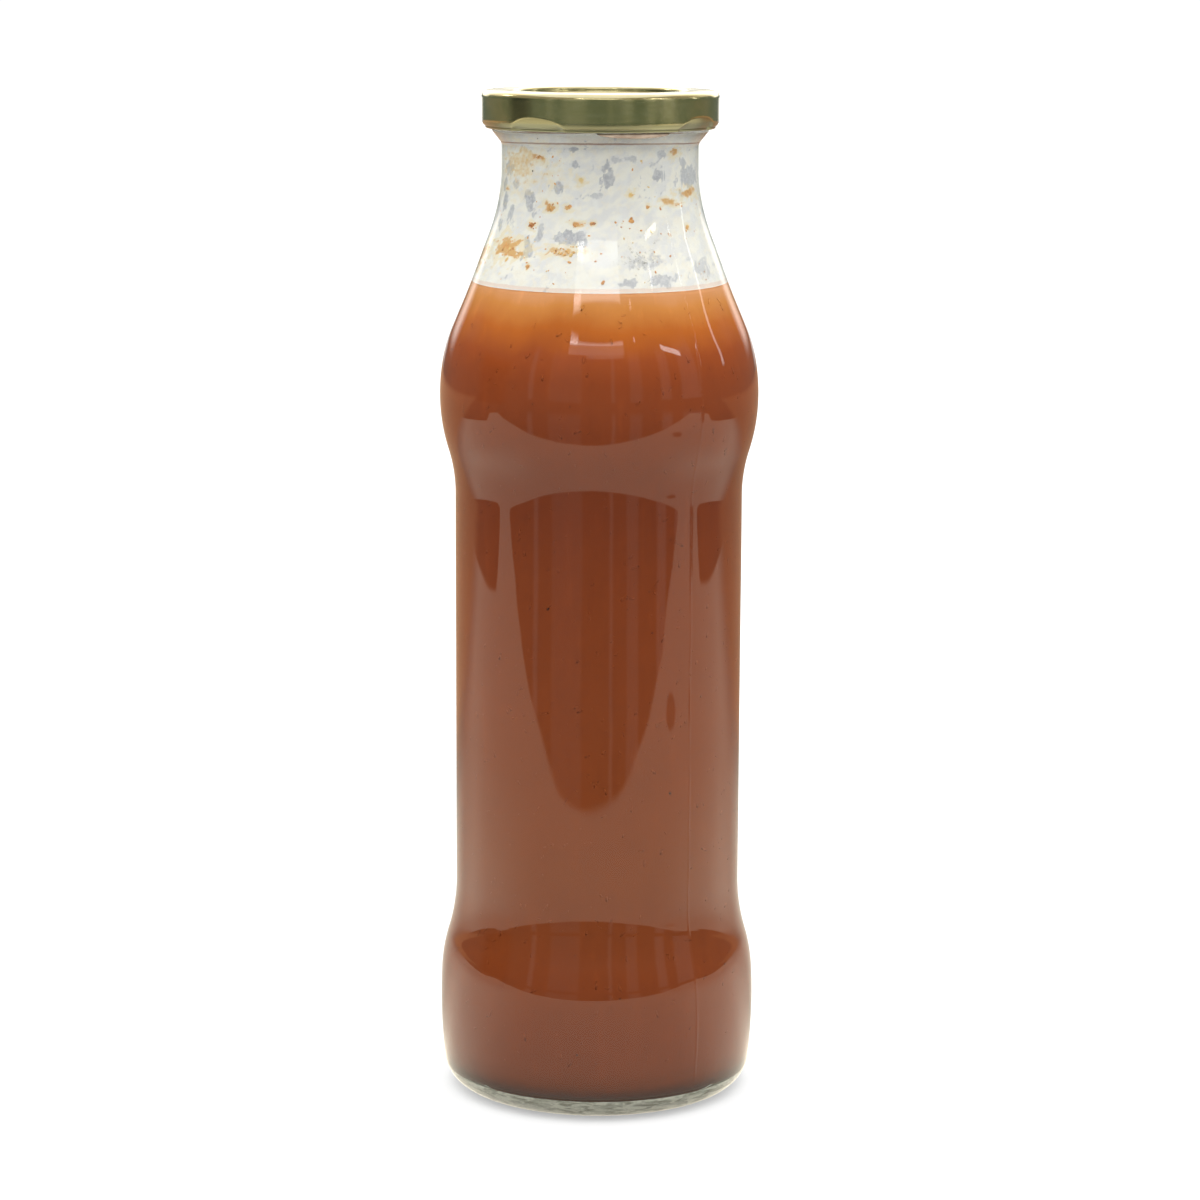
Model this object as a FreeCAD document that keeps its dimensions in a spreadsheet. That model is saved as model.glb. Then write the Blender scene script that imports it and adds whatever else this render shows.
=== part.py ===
import FreeCAD, Part
import math
import os
import Sketcher
from FreeCAD import Vector

# Glass bottle of pear nectar with a twist-off cap, standing upright.
# Millimetres, +Z up, origin at the centre of the foot, where the bottle stands.
# Three separate pieces: the hollow glass bottle, the nectar in it and the cap.

doc = FreeCAD.newDocument("PearNectarBottle")

# ---------------------------------------------------------------------------
# Driving sizes
# ---------------------------------------------------------------------------
SIZES = [
    # bottle, outer form
    ("total_height", 245.0, "foot to the top of the cap"),
    ("heel_radius", 7.1, "outer round between the foot and the base bulge"),
    ("base_radius", 38.65, "largest radius of the base bulge"),
    ("base_height", 22.2, "height of that largest radius"),
    ("base_crown", 136.0, "radius of the flat arc round the base bulge"),
    ("base_crown_rise", 6.6, "how far the flat arc goes up past the largest radius"),
    ("base_edge", 40.9, "radius of the arc that turns in towards the waist"),
    ("waist_fillet", 47.4, "radius of the hollow arc into the straight wall"),
    ("body_radius", 34.85, "straight wall"),
    ("shoulder_fillet", 36.2, "radius of the hollow arc out to the shoulder"),
    ("shoulder_radius", 38.58, "largest radius of the shoulder bulge"),
    ("shoulder_height", 171.95, "height of that largest radius"),
    ("shoulder_crown", 43.9, "radius of the arc round the shoulder bulge"),
    ("neck_taper", 21.26, "angle of the cone under the neck, degrees from upright"),
    ("neck_fillet", 44.7, "radius of the hollow arc from the cone into the neck"),
    ("neck_radius", 23.72, "straight neck"),
    ("neck_top", 232.3, "height where the neck flares out to the finish"),
    # bottle, finish under the cap
    ("bead_radius", 26.0, "ring of glass just under the cap's edge"),
    ("bead_low", 235.2, "lower edge of that ring"),
    ("bead_high", 235.5, "upper edge of that ring"),
    ("finish_radius", 25.2, "wall of the mouth"),
    ("finish_low", 236.1, "where the ring runs out into the wall of the mouth"),
    ("rim_round", 0.9, "rounds on the rim"),
    # bottle, inside
    ("wall", 2.5, "glass wall"),
    ("inner_heel", 8.0, "inside round between floor and wall"),
    ("floor_height", 8.2, "inside floor at the axis"),
    ("floor_dome", 105.0, "radius of the domed inside floor"),
    ("foot_inner", 28.5, "inner edge of the ring that the bottle stands on"),
    ("punt_rise", 3.3, "depth of the hollow under the foot"),
    # nectar
    ("fill_height", 198.7, "level of the nectar"),
    # cap
    ("cap_radius", 28.45, "outside of the skirt"),
    ("cap_sheet", 0.5, "thickness of the lacquered sheet"),
    ("cap_height", 9.1, "edge of the curl to the top of the ring"),
    ("cap_corner", 1.3, "outer round of the ring"),
    ("curl_inner", 26.95, "inside of the rolled edge"),
    ("curl_height", 1.7, "height of the rolled edge"),
    ("curl_round", 1.1, "outer round of the rolled edge"),
    ("panel_radius", 20.3, "wall of the sunk panel"),
    ("panel_corner", 0.9, "hollow round at the foot of the sunk panel's wall"),
    ("panel_edge", 0.8, "round between the ring and the sunk panel's wall"),
    ("button_radius", 9.0, "raised middle of the panel"),
    ("button_slope", 2.2, "width of the slope round the raised middle"),
    ("button_rise", 0.45, "how far the middle stands up"),
    ("lug_angle", 30.0, "width of a lug, in degrees"),
    ("lug_inner", 25.5, "how far in a lug reaches"),
    ("lug_height", 1.9, "height of a lug"),
    ("dent_height", 2.7, "height of the press mark outside each lug"),
    ("dent_depth", 1.0, "depth of the press mark at the edge"),
    ("lug_count", 4, "lugs round the cap"),
    ("cap_turn", -33.0, "how far the cap is turned on the bottle, degrees"),
]
sheet = doc.addObject("Spreadsheet::Sheet", "Sizes")
for row, (name, value, note) in enumerate(SIZES, start=1):
    sheet.set("A%d" % row, name)
    sheet.set("B%d" % row, "%g" % value)
    sheet.set("C%d" % row, note)
    sheet.setAlias("B%d" % row, name)
doc.recompute()


def val(name):
    return float(getattr(sheet, name))


def S(name):
    return "Sizes." + name


# ---------------------------------------------------------------------------
# Helpers
# ---------------------------------------------------------------------------
def new_body(label):
    body = doc.addObject("PartDesign::Body", label.capitalize() + "Body")
    body.Label = label
    return body


def origin_plane(body, role):
    for feature in body.Origin.OriginFeatures:
        if feature.Role == role:
            return feature
    raise RuntimeError("no plane " + role)


def new_sketch(body, name):
    """A sketch in the upright plane: across is the radius, up is the height."""
    sketch = body.newObject("Sketcher::SketchObject", name)
    sketch.AttachmentSupport = [(origin_plane(body, "XZ_Plane"), "")]
    sketch.MapMode = "FlatFace"
    return sketch


def add_line(sketch, a, b):
    return sketch.addGeometry(
        Part.LineSegment(Vector(a[0], a[1], 0), Vector(b[0], b[1], 0)), False)


def add_arc(sketch, centre, radius, a, b):
    """Arc from a to b about centre; returns its index and which end a and b are."""
    ta = math.atan2(a[1] - centre[1], a[0] - centre[0])
    tb = math.atan2(b[1] - centre[1], b[0] - centre[0])
    turn = (tb - ta + math.pi) % (2 * math.pi) - math.pi
    flip = turn < 0
    lo, hi = (tb, tb - turn) if flip else (ta, ta + turn)
    circle = Part.Circle(Vector(centre[0], centre[1], 0), Vector(0, 0, 1), radius)
    index = sketch.addGeometry(Part.ArcOfCircle(circle, lo, hi), False)
    return index, (2, 1) if flip else (1, 2)


def drive(sketch, constraint, expression):
    index = sketch.addConstraint(constraint)
    if expression is not None:
        sketch.setExpression("Constraints[%d]" % index, expression)
    return index


def numeric(expression):
    """Value of a formula in the sheet's names."""
    found = sheet.evalExpression(expression)
    return float(getattr(found, "Value", found))


def pin(sketch, geo, pos, x=None, y=None):
    """Fixes a point's radius and height by formulas; "0" puts it on the axis."""
    if x is not None:
        if x == "0":
            sketch.addConstraint(Sketcher.Constraint("PointOnObject", geo, pos, -2))
        else:
            drive(sketch, Sketcher.Constraint("DistanceX", geo, pos, numeric(x)), x)
    if y is not None:
        if y == "0":
            sketch.addConstraint(Sketcher.Constraint("PointOnObject", geo, pos, -1))
        else:
            drive(sketch, Sketcher.Constraint("DistanceY", geo, pos, numeric(y)), y)


def outline(sketch, corners):
    """Closed outline through corners (x, y, arc). arc is None for a straight run
    to the next corner, or (radius formula, +1 or -1 for the side of its centre)."""
    points = [(numeric(x), numeric(y)) for x, y, arc in corners]
    made = []
    for i, (x, y, arc) in enumerate(corners):
        a, b = points[i], points[(i + 1) % len(corners)]
        if arc is None:
            made.append((add_line(sketch, a, b), (1, 2)))
        else:
            radius = numeric(arc[0])
            mx, my = (a[0] + b[0]) / 2, (a[1] + b[1]) / 2
            dx, dy = b[0] - a[0], b[1] - a[1]
            half = math.hypot(dx, dy) / 2
            off = math.sqrt(max(radius ** 2 - half ** 2, 0)) * arc[1]
            centre = (mx - dy / (2 * half) * off, my + dx / (2 * half) * off)
            made.append(add_arc(sketch, centre, radius, a, b))
    for i, (geo, ends) in enumerate(made):
        nxt, nends = made[(i + 1) % len(made)]
        sketch.addConstraint(Sketcher.Constraint("Coincident", geo, ends[1], nxt, nends[0]))
    for i, (x, y, arc) in enumerate(corners):
        geo, ends = made[i]
        pin(sketch, geo, ends[0], x, y)
        if arc is not None:
            drive(sketch, Sketcher.Constraint("Radius", geo, numeric(arc[0])), arc[0])
    return made


def wall_chain(sketch, inset, top):
    """The bottle's wall as tangent arcs and lines, from the heel upwards, moved in
    by the length inset ("0" for the outside). It ends on the cone at the height
    top, or, if top is None, on the neck's upright line, whose end is left free.
    Returns the (geometry, (lower end, upper end)) pairs, heel first."""
    o = numeric(inset)
    crown_c = (val("base_radius") - val("base_crown"), val("base_height"))
    crown_r = val("base_crown") - o
    beta = math.asin(val("base_crown_rise") / val("base_crown"))
    # heel
    if inset == "0":
        heel_r = val("heel_radius")
        hz = heel_r
        hx = crown_c[0] + math.sqrt((crown_r - heel_r) ** 2 - (hz - crown_c[1]) ** 2)
        heel_low = (hx, 0.0)
    else:
        heel_r = val("inner_heel")
        dome_c = (0.0, val("floor_height") - val("floor_dome"))
        d1, d2 = crown_r - heel_r, val("floor_dome") + heel_r
        ex, ey = dome_c[0] - crown_c[0], dome_c[1] - crown_c[1]
        d = math.hypot(ex, ey)
        along = (d1 * d1 - d2 * d2 + d * d) / (2 * d)
        side = math.sqrt(d1 * d1 - along * along)
        hx = crown_c[0] + along * ex / d - side * ey / d
        hz = crown_c[1] + along * ey / d + side * ex / d
        k = val("floor_dome") / d2
        heel_low = (dome_c[0] + (hx - dome_c[0]) * k, dome_c[1] + (hz - dome_c[1]) * k)
    k = crown_r / (crown_r - heel_r)
    p0 = (crown_c[0] + (hx - crown_c[0]) * k, crown_c[1] + (hz - crown_c[1]) * k)
    p1 = (crown_c[0] + crown_r * math.cos(beta), crown_c[1] + crown_r * math.sin(beta))
    # edge and waist
    edge, waist = val("base_edge"), val("waist_fillet")
    edge_c = (crown_c[0] + (val("base_crown") - edge) * math.cos(beta),
              crown_c[1] + (val("base_crown") - edge) * math.sin(beta))
    waist_x = val("body_radius") + waist
    waist_c = (waist_x, edge_c[1] + math.sqrt((edge + waist) ** 2 - (waist_x - edge_c[0]) ** 2))
    k = (edge - o) / (edge + waist)
    p2 = (edge_c[0] + (waist_c[0] - edge_c[0]) * k, edge_c[1] + (waist_c[1] - edge_c[1]) * k)
    p3 = (val("body_radius") - o, waist_c[1])
    # shoulder
    hollow, crown = val("shoulder_fillet"), val("shoulder_crown")
    sh_c = (val("shoulder_radius") - crown, val("shoulder_height"))
    ho_x = val("body_radius") + hollow
    ho_c = (ho_x, sh_c[1] - math.sqrt((hollow + crown) ** 2 - (ho_x - sh_c[0]) ** 2))
    p4 = (val("body_radius") - o, ho_c[1])
    k = (crown - o) / (hollow + crown)
    p5 = (sh_c[0] + (ho_c[0] - sh_c[0]) * k, sh_c[1] + (ho_c[1] - sh_c[1]) * k)
    taper = math.radians(val("neck_taper"))
    p6 = (sh_c[0] + (crown - o) * math.cos(taper), sh_c[1] + (crown - o) * math.sin(taper))
    # neck
    nf = val("neck_fillet")
    join_x = val("neck_radius") - o + (nf + o) * (1 - math.cos(taper))
    p7 = (join_x, p6[1] + (p6[0] - join_x) / math.tan(taper))
    nf_c = (val("neck_radius") + nf, p7[1] + (nf + o) * math.sin(taper))
    p8 = (val("neck_radius") - o, nf_c[1])

    chain = [add_arc(sketch, (hx, hz), heel_r, heel_low, p0),
             add_arc(sketch, crown_c, crown_r, p0, p1),
             add_arc(sketch, edge_c, edge - o, p1, p2),
             add_arc(sketch, waist_c, waist + o, p2, p3),
             (add_line(sketch, p3, p4), (1, 2)),
             add_arc(sketch, ho_c, hollow + o, p4, p5),
             add_arc(sketch, sh_c, crown - o, p5, p6)]
    if top is None:
        p9 = (p8[0], val("neck_top"))
        chain += [(add_line(sketch, p6, p7), (1, 2)),
                  add_arc(sketch, nf_c, nf + o, p7, p8),
                  (add_line(sketch, p8, p9), (1, 2))]
    else:
        z = numeric(top)
        end = (p6[0] - (z - p6[1]) * math.tan(taper), z)
        chain.append((add_line(sketch, p6, end), (1, 2)))

    for (g1, e1), (g2, e2) in zip(chain, chain[1:]):
        sketch.addConstraint(Sketcher.Constraint("Tangent", g1, e1[1], g2, e2[0]))

    heel, crown_g, edge_g, waist_g, body_g, hollow_g, shoulder_g, cone_g = \
        [geo for geo, ends in chain[:8]]
    less = "" if inset == "0" else " - " + inset
    more = "" if inset == "0" else " + " + inset
    radii = [(heel, S("heel_radius") if inset == "0" else S("inner_heel")),
             (crown_g, S("base_crown") + less), (edge_g, S("base_edge") + less),
             (waist_g, S("waist_fillet") + more), (hollow_g, S("shoulder_fillet") + more),
             (shoulder_g, S("shoulder_crown") + less)]
    if top is None:
        radii.append((chain[8][0], S("neck_fillet") + more))
    for geo, formula in radii:
        drive(sketch, Sketcher.Constraint("Radius", geo, numeric(formula)), formula)
    # the flat arc of the base bulge: its centre lies inside, past the axis
    drive(sketch, Sketcher.Constraint("DistanceX", crown_g, 3, -1, 1, -crown_c[0]),
          "Sizes.base_crown - Sizes.base_radius")
    pin(sketch, crown_g, 3, None, S("base_height"))
    rise = "Sizes.base_height + (Sizes.base_crown%s) * Sizes.base_crown_rise / Sizes.base_crown" % less
    pin(sketch, crown_g, chain[1][1][1], None, rise)
    sketch.addConstraint(Sketcher.Constraint("Vertical", body_g))
    pin(sketch, body_g, 1, S("body_radius") + less, None)
    # centre of the shoulder bulge
    if sh_c[0] < 0:
        drive(sketch, Sketcher.Constraint("DistanceX", shoulder_g, 3, -1, 1, -sh_c[0]),
              "Sizes.shoulder_crown - Sizes.shoulder_radius")
    else:
        drive(sketch, Sketcher.Constraint("DistanceX", -1, 1, shoulder_g, 3, sh_c[0]),
              "Sizes.shoulder_radius - Sizes.shoulder_crown")
    pin(sketch, shoulder_g, 3, None, S("shoulder_height"))
    pin(sketch, cone_g, 1, None,
        "Sizes.shoulder_height + (Sizes.shoulder_crown%s) * sin(Sizes.neck_taper * 1deg)" % less)
    if top is None:
        sketch.addConstraint(Sketcher.Constraint("Vertical", chain[9][0]))
        pin(sketch, chain[9][0], 1, S("neck_radius") + less, None)
    else:
        pin(sketch, cone_g, 2, None, top)
    return chain, heel_low


def join(sketch, a, b):
    sketch.addConstraint(Sketcher.Constraint("Coincident", a[0], a[1], b[0], b[1]))


def revolve(body, sketch, name, kind="PartDesign::Revolution", angle="360", middle=False):
    feature = body.newObject(kind, name)
    feature.Profile = sketch
    feature.ReferenceAxis = (sketch, ["V_Axis"])
    feature.setExpression("Angle", angle)
    feature.Midplane = middle
    sketch.Visibility = False
    return feature


def check_cut(body, before, what):
    after = body.Shape.Volume
    print("%s: %.1f -> %.1f mm3" % (what, before, after))
    if not after < before - 1.0:
        raise RuntimeError(what + " cut nothing")


# ---------------------------------------------------------------------------
# Bottle: outer form, cavity, hollow under the foot, rounds on the rim
# ---------------------------------------------------------------------------
bottle = new_body("bottle")
RIM = "(Sizes.total_height - Sizes.cap_sheet)"
outer = new_sketch(bottle, "OuterForm")
chain, heel_low = wall_chain(outer, "0", None)
points = [(val("bead_radius"), val("bead_low")), (val("bead_radius"), val("bead_high")),
          (val("finish_radius"), val("finish_low")), (val("finish_radius"), numeric(RIM)),
          (0.0, numeric(RIM)), (0.0, 0.0), heel_low]
start = (val("neck_radius"), val("neck_top"))
runs = []
for point in points:
    runs.append(add_line(outer, start, point))
    start = point
join(outer, (chain[-1][0], 2), (runs[0], 1))
for a, b in zip(runs, runs[1:]):
    join(outer, (a, 2), (b, 1))
outer.addConstraint(Sketcher.Constraint("Tangent", runs[-1], 2, chain[0][0], chain[0][1][0]))
pin(outer, chain[-1][0], 2, None, S("neck_top"))
pin(outer, runs[0], 2, S("bead_radius"), S("bead_low"))
pin(outer, runs[1], 2, S("bead_radius"), S("bead_high"))
pin(outer, runs[2], 2, S("finish_radius"), S("finish_low"))
pin(outer, runs[3], 2, S("finish_radius"), RIM)
pin(outer, runs[4], 2, "0", RIM)
pin(outer, runs[5], 2, "0", "0")
outer.addConstraint(Sketcher.Constraint("Horizontal", runs[6]))
revolve(bottle, outer, "GlassForm")
doc.recompute()

cavity = new_sketch(bottle, "Cavity")
chain, heel_low = wall_chain(cavity, "Sizes.wall", None)
dome_c = (0.0, val("floor_height") - val("floor_dome"))
dome, dome_ends = add_arc(cavity, dome_c, val("floor_dome"), (0.0, val("floor_height")), heel_low)
top_z = numeric(RIM) + 2.0
bore = add_line(cavity, (val("neck_radius") - val("wall"), top_z), (0.0, top_z))
axis = add_line(cavity, (0.0, top_z), (0.0, val("floor_height")))
join(cavity, (chain[-1][0], 2), (bore, 1))
join(cavity, (bore, 2), (axis, 1))
join(cavity, (axis, 2), (dome, dome_ends[0]))
cavity.addConstraint(Sketcher.Constraint("Tangent", dome, dome_ends[1],
                                         chain[0][0], chain[0][1][0]))
drive(cavity, Sketcher.Constraint("Radius", dome, val("floor_dome")), S("floor_dome"))
cavity.addConstraint(Sketcher.Constraint("PointOnObject", dome, 3, -2))
pin(cavity, axis, 2, "0", S("floor_height"))
pin(cavity, bore, 2, "0", RIM + " + 2")
cavity.addConstraint(Sketcher.Constraint("Horizontal", bore))
solid_volume = bottle.Shape.Volume
revolve(bottle, cavity, "CavityCut", "PartDesign::Groove")
doc.recompute()
check_cut(bottle, solid_volume, "cavity")

punt = new_sketch(bottle, "Punt")
outline(punt, [
    ("0", "0", None),
    (S("foot_inner"), "0",
     ("(Sizes.foot_inner^2 + Sizes.punt_rise^2) / (2 * Sizes.punt_rise)", 1)),
    ("0", S("punt_rise"), None),
])
before = bottle.Shape.Volume
revolve(bottle, punt, "PuntCut", "PartDesign::Groove")
doc.recompute()
check_cut(bottle, before, "hollow under the foot")

rim_edges = []
for number, edge in enumerate(bottle.Shape.Edges, start=1):
    box = edge.BoundBox
    level_with_rim = abs(box.ZMin - numeric(RIM)) < 1e-3 and box.ZLength < 1e-3
    if level_with_rim and edge.Length > 2 * math.pi * val("wall"):
        rim_edges.append("Edge%d" % number)
rounds = bottle.newObject("PartDesign::Fillet", "RimRounds")
rounds.Base = (bottle.Tip if bottle.Tip is not rounds else doc.getObject("PuntCut"), rim_edges)
rounds.setExpression("Radius", S("rim_round"))
doc.recompute()
print("rim edges", rim_edges, "tip", bottle.Tip.Name)

# ---------------------------------------------------------------------------
# Nectar: solid out to the glass, up to its level
# ---------------------------------------------------------------------------
nectar = new_body("nectar")
filling = new_sketch(nectar, "Filling")
chain, heel_low = wall_chain(filling, "Sizes.wall", S("fill_height"))
dome, dome_ends = add_arc(filling, dome_c, val("floor_dome"), (0.0, val("floor_height")), heel_low)
end = filling.Geometry[chain[-1][0]].EndPoint
level = add_line(filling, (end.x, end.y), (0.0, end.y))
axis = add_line(filling, (0.0, end.y), (0.0, val("floor_height")))
join(filling, (chain[-1][0], 2), (level, 1))
join(filling, (level, 2), (axis, 1))
join(filling, (axis, 2), (dome, dome_ends[0]))
filling.addConstraint(Sketcher.Constraint("Tangent", dome, dome_ends[1],
                                          chain[0][0], chain[0][1][0]))
drive(filling, Sketcher.Constraint("Radius", dome, val("floor_dome")), S("floor_dome"))
filling.addConstraint(Sketcher.Constraint("PointOnObject", dome, 3, -2))
filling.addConstraint(Sketcher.Constraint("Horizontal", level))
filling.addConstraint(Sketcher.Constraint("PointOnObject", level, 2, -2))
pin(filling, axis, 2, "0", S("floor_height"))
revolve(nectar, filling, "NectarForm")
doc.recompute()

# ---------------------------------------------------------------------------
# Cap: pressed sheet with a raised ring, a sunk panel with a raised middle,
# a rolled edge, and lugs pressed in from outside
# ---------------------------------------------------------------------------
cap = new_body("lid")
T, R_OUT, SHEET = S("total_height"), S("cap_radius"), S("cap_sheet")
LOW = "(Sizes.total_height - Sizes.cap_height)"
PANEL = "(Sizes.total_height - Sizes.panel_corner - Sizes.panel_edge)"
RING_IN = "Sizes.panel_radius + Sizes.panel_edge"
FLOOR_OUT = "Sizes.panel_radius - Sizes.panel_corner"
section = new_sketch(cap, "CapSection")
outline(section, [
    # upper side, from the middle outwards
    ("0", PANEL + " + Sizes.button_rise", None),
    (S("button_radius"), PANEL + " + Sizes.button_rise", None),
    ("Sizes.button_radius + Sizes.button_slope", PANEL, None),
    (FLOOR_OUT, PANEL, (S("panel_corner"), 1)),
    (S("panel_radius"), PANEL + " + Sizes.panel_corner", (S("panel_edge"), -1)),
    (RING_IN, T, None),
    (R_OUT + " - Sizes.cap_corner", T, (S("cap_corner"), -1)),
    (R_OUT, T + " - Sizes.cap_corner", None),
    (R_OUT, LOW + " + Sizes.curl_round", (S("curl_round"), -1)),
    (R_OUT + " - Sizes.curl_round", LOW, None),
    # rolled edge and under side, back to the middle
    ("Sizes.curl_inner + 0.5 * Sizes.cap_sheet", LOW, None),
    (S("curl_inner"), LOW + " + 0.5 * Sizes.cap_sheet", None),
    (S("curl_inner"), LOW + " + Sizes.curl_height", None),
    (R_OUT + " - " + SHEET, LOW + " + Sizes.curl_height + 0.5", None),
    (R_OUT + " - " + SHEET, T + " - Sizes.cap_corner", ("Sizes.cap_corner - Sizes.cap_sheet", 1)),
    (R_OUT + " - Sizes.cap_corner", T + " - " + SHEET, None),
    (RING_IN, T + " - " + SHEET, ("Sizes.panel_edge - Sizes.cap_sheet", 1)),
    ("Sizes.panel_radius + Sizes.cap_sheet", PANEL + " + Sizes.panel_corner",
     ("Sizes.panel_corner + Sizes.cap_sheet", -1)),
    (FLOOR_OUT, PANEL + " - " + SHEET, None),
    ("Sizes.button_radius + Sizes.button_slope", PANEL + " - " + SHEET, None),
    (S("button_radius"), PANEL + " + Sizes.button_rise - " + SHEET, None),
    ("0", PANEL + " + Sizes.button_rise - " + SHEET, None),
])
revolve(cap, section, "CapShell")
doc.recompute()

lug = new_sketch(cap, "LugSection")
outline(lug, [
    (S("lug_inner"), LOW + " + 0.35", None),
    ("Sizes.cap_radius - Sizes.curl_round", LOW, None),
    ("Sizes.cap_radius - Sizes.cap_sheet", LOW + " + 0.6", None),
    ("Sizes.cap_radius - 0.5 * Sizes.cap_sheet", LOW + " + Sizes.dent_height + 0.4", None),
    ("Sizes.cap_radius - 3 * Sizes.cap_sheet", LOW + " + Sizes.dent_height - 0.1", None),
    (S("lug_inner"), LOW + " + Sizes.lug_height", None),
])
before = cap.Shape.Volume
lug_form = revolve(cap, lug, "LugForm", angle=S("lug_angle"), middle=True)
doc.recompute()
print("one lug adds %.1f mm3" % (cap.Shape.Volume - before))

dent = new_sketch(cap, "DentSection")
outline(dent, [
    ("Sizes.cap_radius + 1", LOW + " - 1", None),
    ("Sizes.cap_radius + 1", LOW + " + Sizes.dent_height", None),
    (S("cap_radius"), LOW + " + Sizes.dent_height", None),
    ("Sizes.cap_radius - Sizes.dent_depth", LOW + " + 0.5", None),
    ("Sizes.cap_radius - Sizes.dent_depth - 0.4", LOW + " - 1", None),
])
before = cap.Shape.Volume
dent_form = revolve(cap, dent, "DentCut", "PartDesign::Groove",
                    angle="Sizes.lug_angle - 4", middle=True)
doc.recompute()
check_cut(cap, before, "one press mark")

ring = cap.newObject("PartDesign::PolarPattern", "LugRing")
ring.Originals = [lug_form, dent_form]
ring.Axis = (section, ["V_Axis"])
ring.Angle = 360
ring.setExpression("Occurrences", S("lug_count"))
cap.Tip = ring
doc.recompute()
cap.setExpression("Placement.Rotation.Angle", "Sizes.cap_turn * 1deg")
doc.recompute()
print("lid tip", cap.Tip.Name, "turned", cap.Placement.Rotation.toEuler())

# ---------------------------------------------------------------------------
# Checks, then one file for each piece
# ---------------------------------------------------------------------------
doc.recompute()
bad = []
for item in doc.Objects:
    states = [str(s) for s in item.State]
    if "Invalid" in states or "Error" in states:
        bad.append("%s %s" % (item.Name, states))
for item in doc.Objects:
    if item.TypeId == "Sketcher::SketchObject":
        state = item.solve()
        print("sketch %-12s solve %s, degrees of freedom %s, constraints %d"
              % (item.Name, state, item.DoF, item.ConstraintCount))
        if state != 0 or item.DoF != 0:
            bad.append(item.Name + " is not fully set")
pieces = [bottle, nectar, cap]
for piece in pieces:
    shape = piece.Shape
    if shape.isNull() or not shape.isValid() or len(shape.Solids) != 1:
        bad.append("%s is not one valid solid" % piece.Label)
    else:
        box = shape.BoundBox
        print("%-7s volume %9.1f mm3, box %.2f..%.2f, %.2f..%.2f, %.2f..%.2f, faces %d"
              % (piece.Label, shape.Volume, box.XMin, box.XMax, box.YMin, box.YMax,
                 box.ZMin, box.ZMax, len(shape.Faces)))
for i, a in enumerate(pieces):
    for b in pieces[i + 1:]:
        common = a.Shape.common(b.Shape)
        print("shared by %s and %s: %.4f mm3" % (a.Label, b.Label, common.Volume))
        if common.Volume > 0.5:
            bad.append("%s and %s overlap" % (a.Label, b.Label))
if bad:
    raise RuntimeError("; ".join(bad))

os.makedirs("parts", exist_ok=True)
for piece in pieces:
    piece.Shape.exportStep("parts/%s.step" % piece.Label)
print("written", [piece.Label for piece in pieces])
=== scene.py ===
import math
import bpy
import numpy as np
from mathutils import Matrix, Vector


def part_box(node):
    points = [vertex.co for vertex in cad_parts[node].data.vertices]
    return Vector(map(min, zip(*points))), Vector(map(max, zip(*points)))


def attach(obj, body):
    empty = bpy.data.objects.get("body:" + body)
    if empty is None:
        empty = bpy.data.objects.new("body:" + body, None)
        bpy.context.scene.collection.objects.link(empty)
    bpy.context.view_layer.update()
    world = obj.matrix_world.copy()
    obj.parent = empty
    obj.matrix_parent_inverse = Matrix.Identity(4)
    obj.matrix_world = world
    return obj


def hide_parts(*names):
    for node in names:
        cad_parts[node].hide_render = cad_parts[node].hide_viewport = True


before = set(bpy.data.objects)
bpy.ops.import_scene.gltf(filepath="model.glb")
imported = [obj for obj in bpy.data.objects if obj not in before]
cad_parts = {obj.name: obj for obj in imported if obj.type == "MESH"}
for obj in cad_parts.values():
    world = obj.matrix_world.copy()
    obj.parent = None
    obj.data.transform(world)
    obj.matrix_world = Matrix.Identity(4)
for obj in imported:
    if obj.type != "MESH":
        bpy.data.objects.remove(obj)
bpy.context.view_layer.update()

MM = 0.001
RNG = np.random.default_rng(20)

# ---------------------------------------------------------------------------
# Sizes in millimetres, the same names as the CAD's sheet
# ---------------------------------------------------------------------------
lo_b, hi_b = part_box("bottle")
lo_n, hi_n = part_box("nectar")
lo_l, hi_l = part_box("lid")
TOP = hi_l.z / MM                      # top of the cap
RIM = hi_b.z / MM                      # rim of the glass
FILL = hi_n.z / MM                     # level of the nectar
CAP_LOW = lo_l.z / MM                  # lower edge of the cap
CAP_R = hi_l.x / MM                    # outside of the cap's skirt
Z = dict(heel_radius=7.1, base_radius=38.65, base_height=22.2, base_crown=136.0,
         base_crown_rise=6.6, base_edge=40.9, waist_fillet=47.4, body_radius=34.85,
         shoulder_fillet=36.2, shoulder_radius=38.58, shoulder_height=171.95,
         shoulder_crown=43.9, neck_taper=21.26, neck_fillet=44.7, neck_radius=23.72,
         neck_top=232.3, bead_radius=26.0, bead_low=235.2, bead_high=235.5,
         finish_radius=25.2, finish_low=236.1, wall=2.5, inner_heel=8.0,
         floor_height=8.2, floor_dome=105.0, foot_inner=28.5, punt_rise=3.3)
SEAM = 39.0                            # azimuth of the mould seam, and its twin opposite


# ---------------------------------------------------------------------------
# Profiles of the wall
# ---------------------------------------------------------------------------
def arc(cx, cz, r, a, b, n):
    """Points on an arc from angle a to angle b, without the last."""
    t = np.linspace(a, b, n, endpoint=False)
    return [(cx + r * math.cos(x), cz + r * math.sin(x)) for x in t]


def run(p, q, n):
    return [(p[0] + (q[0] - p[0]) * i / n, p[1] + (q[1] - p[1]) * i / n) for i in range(n)]


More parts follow.
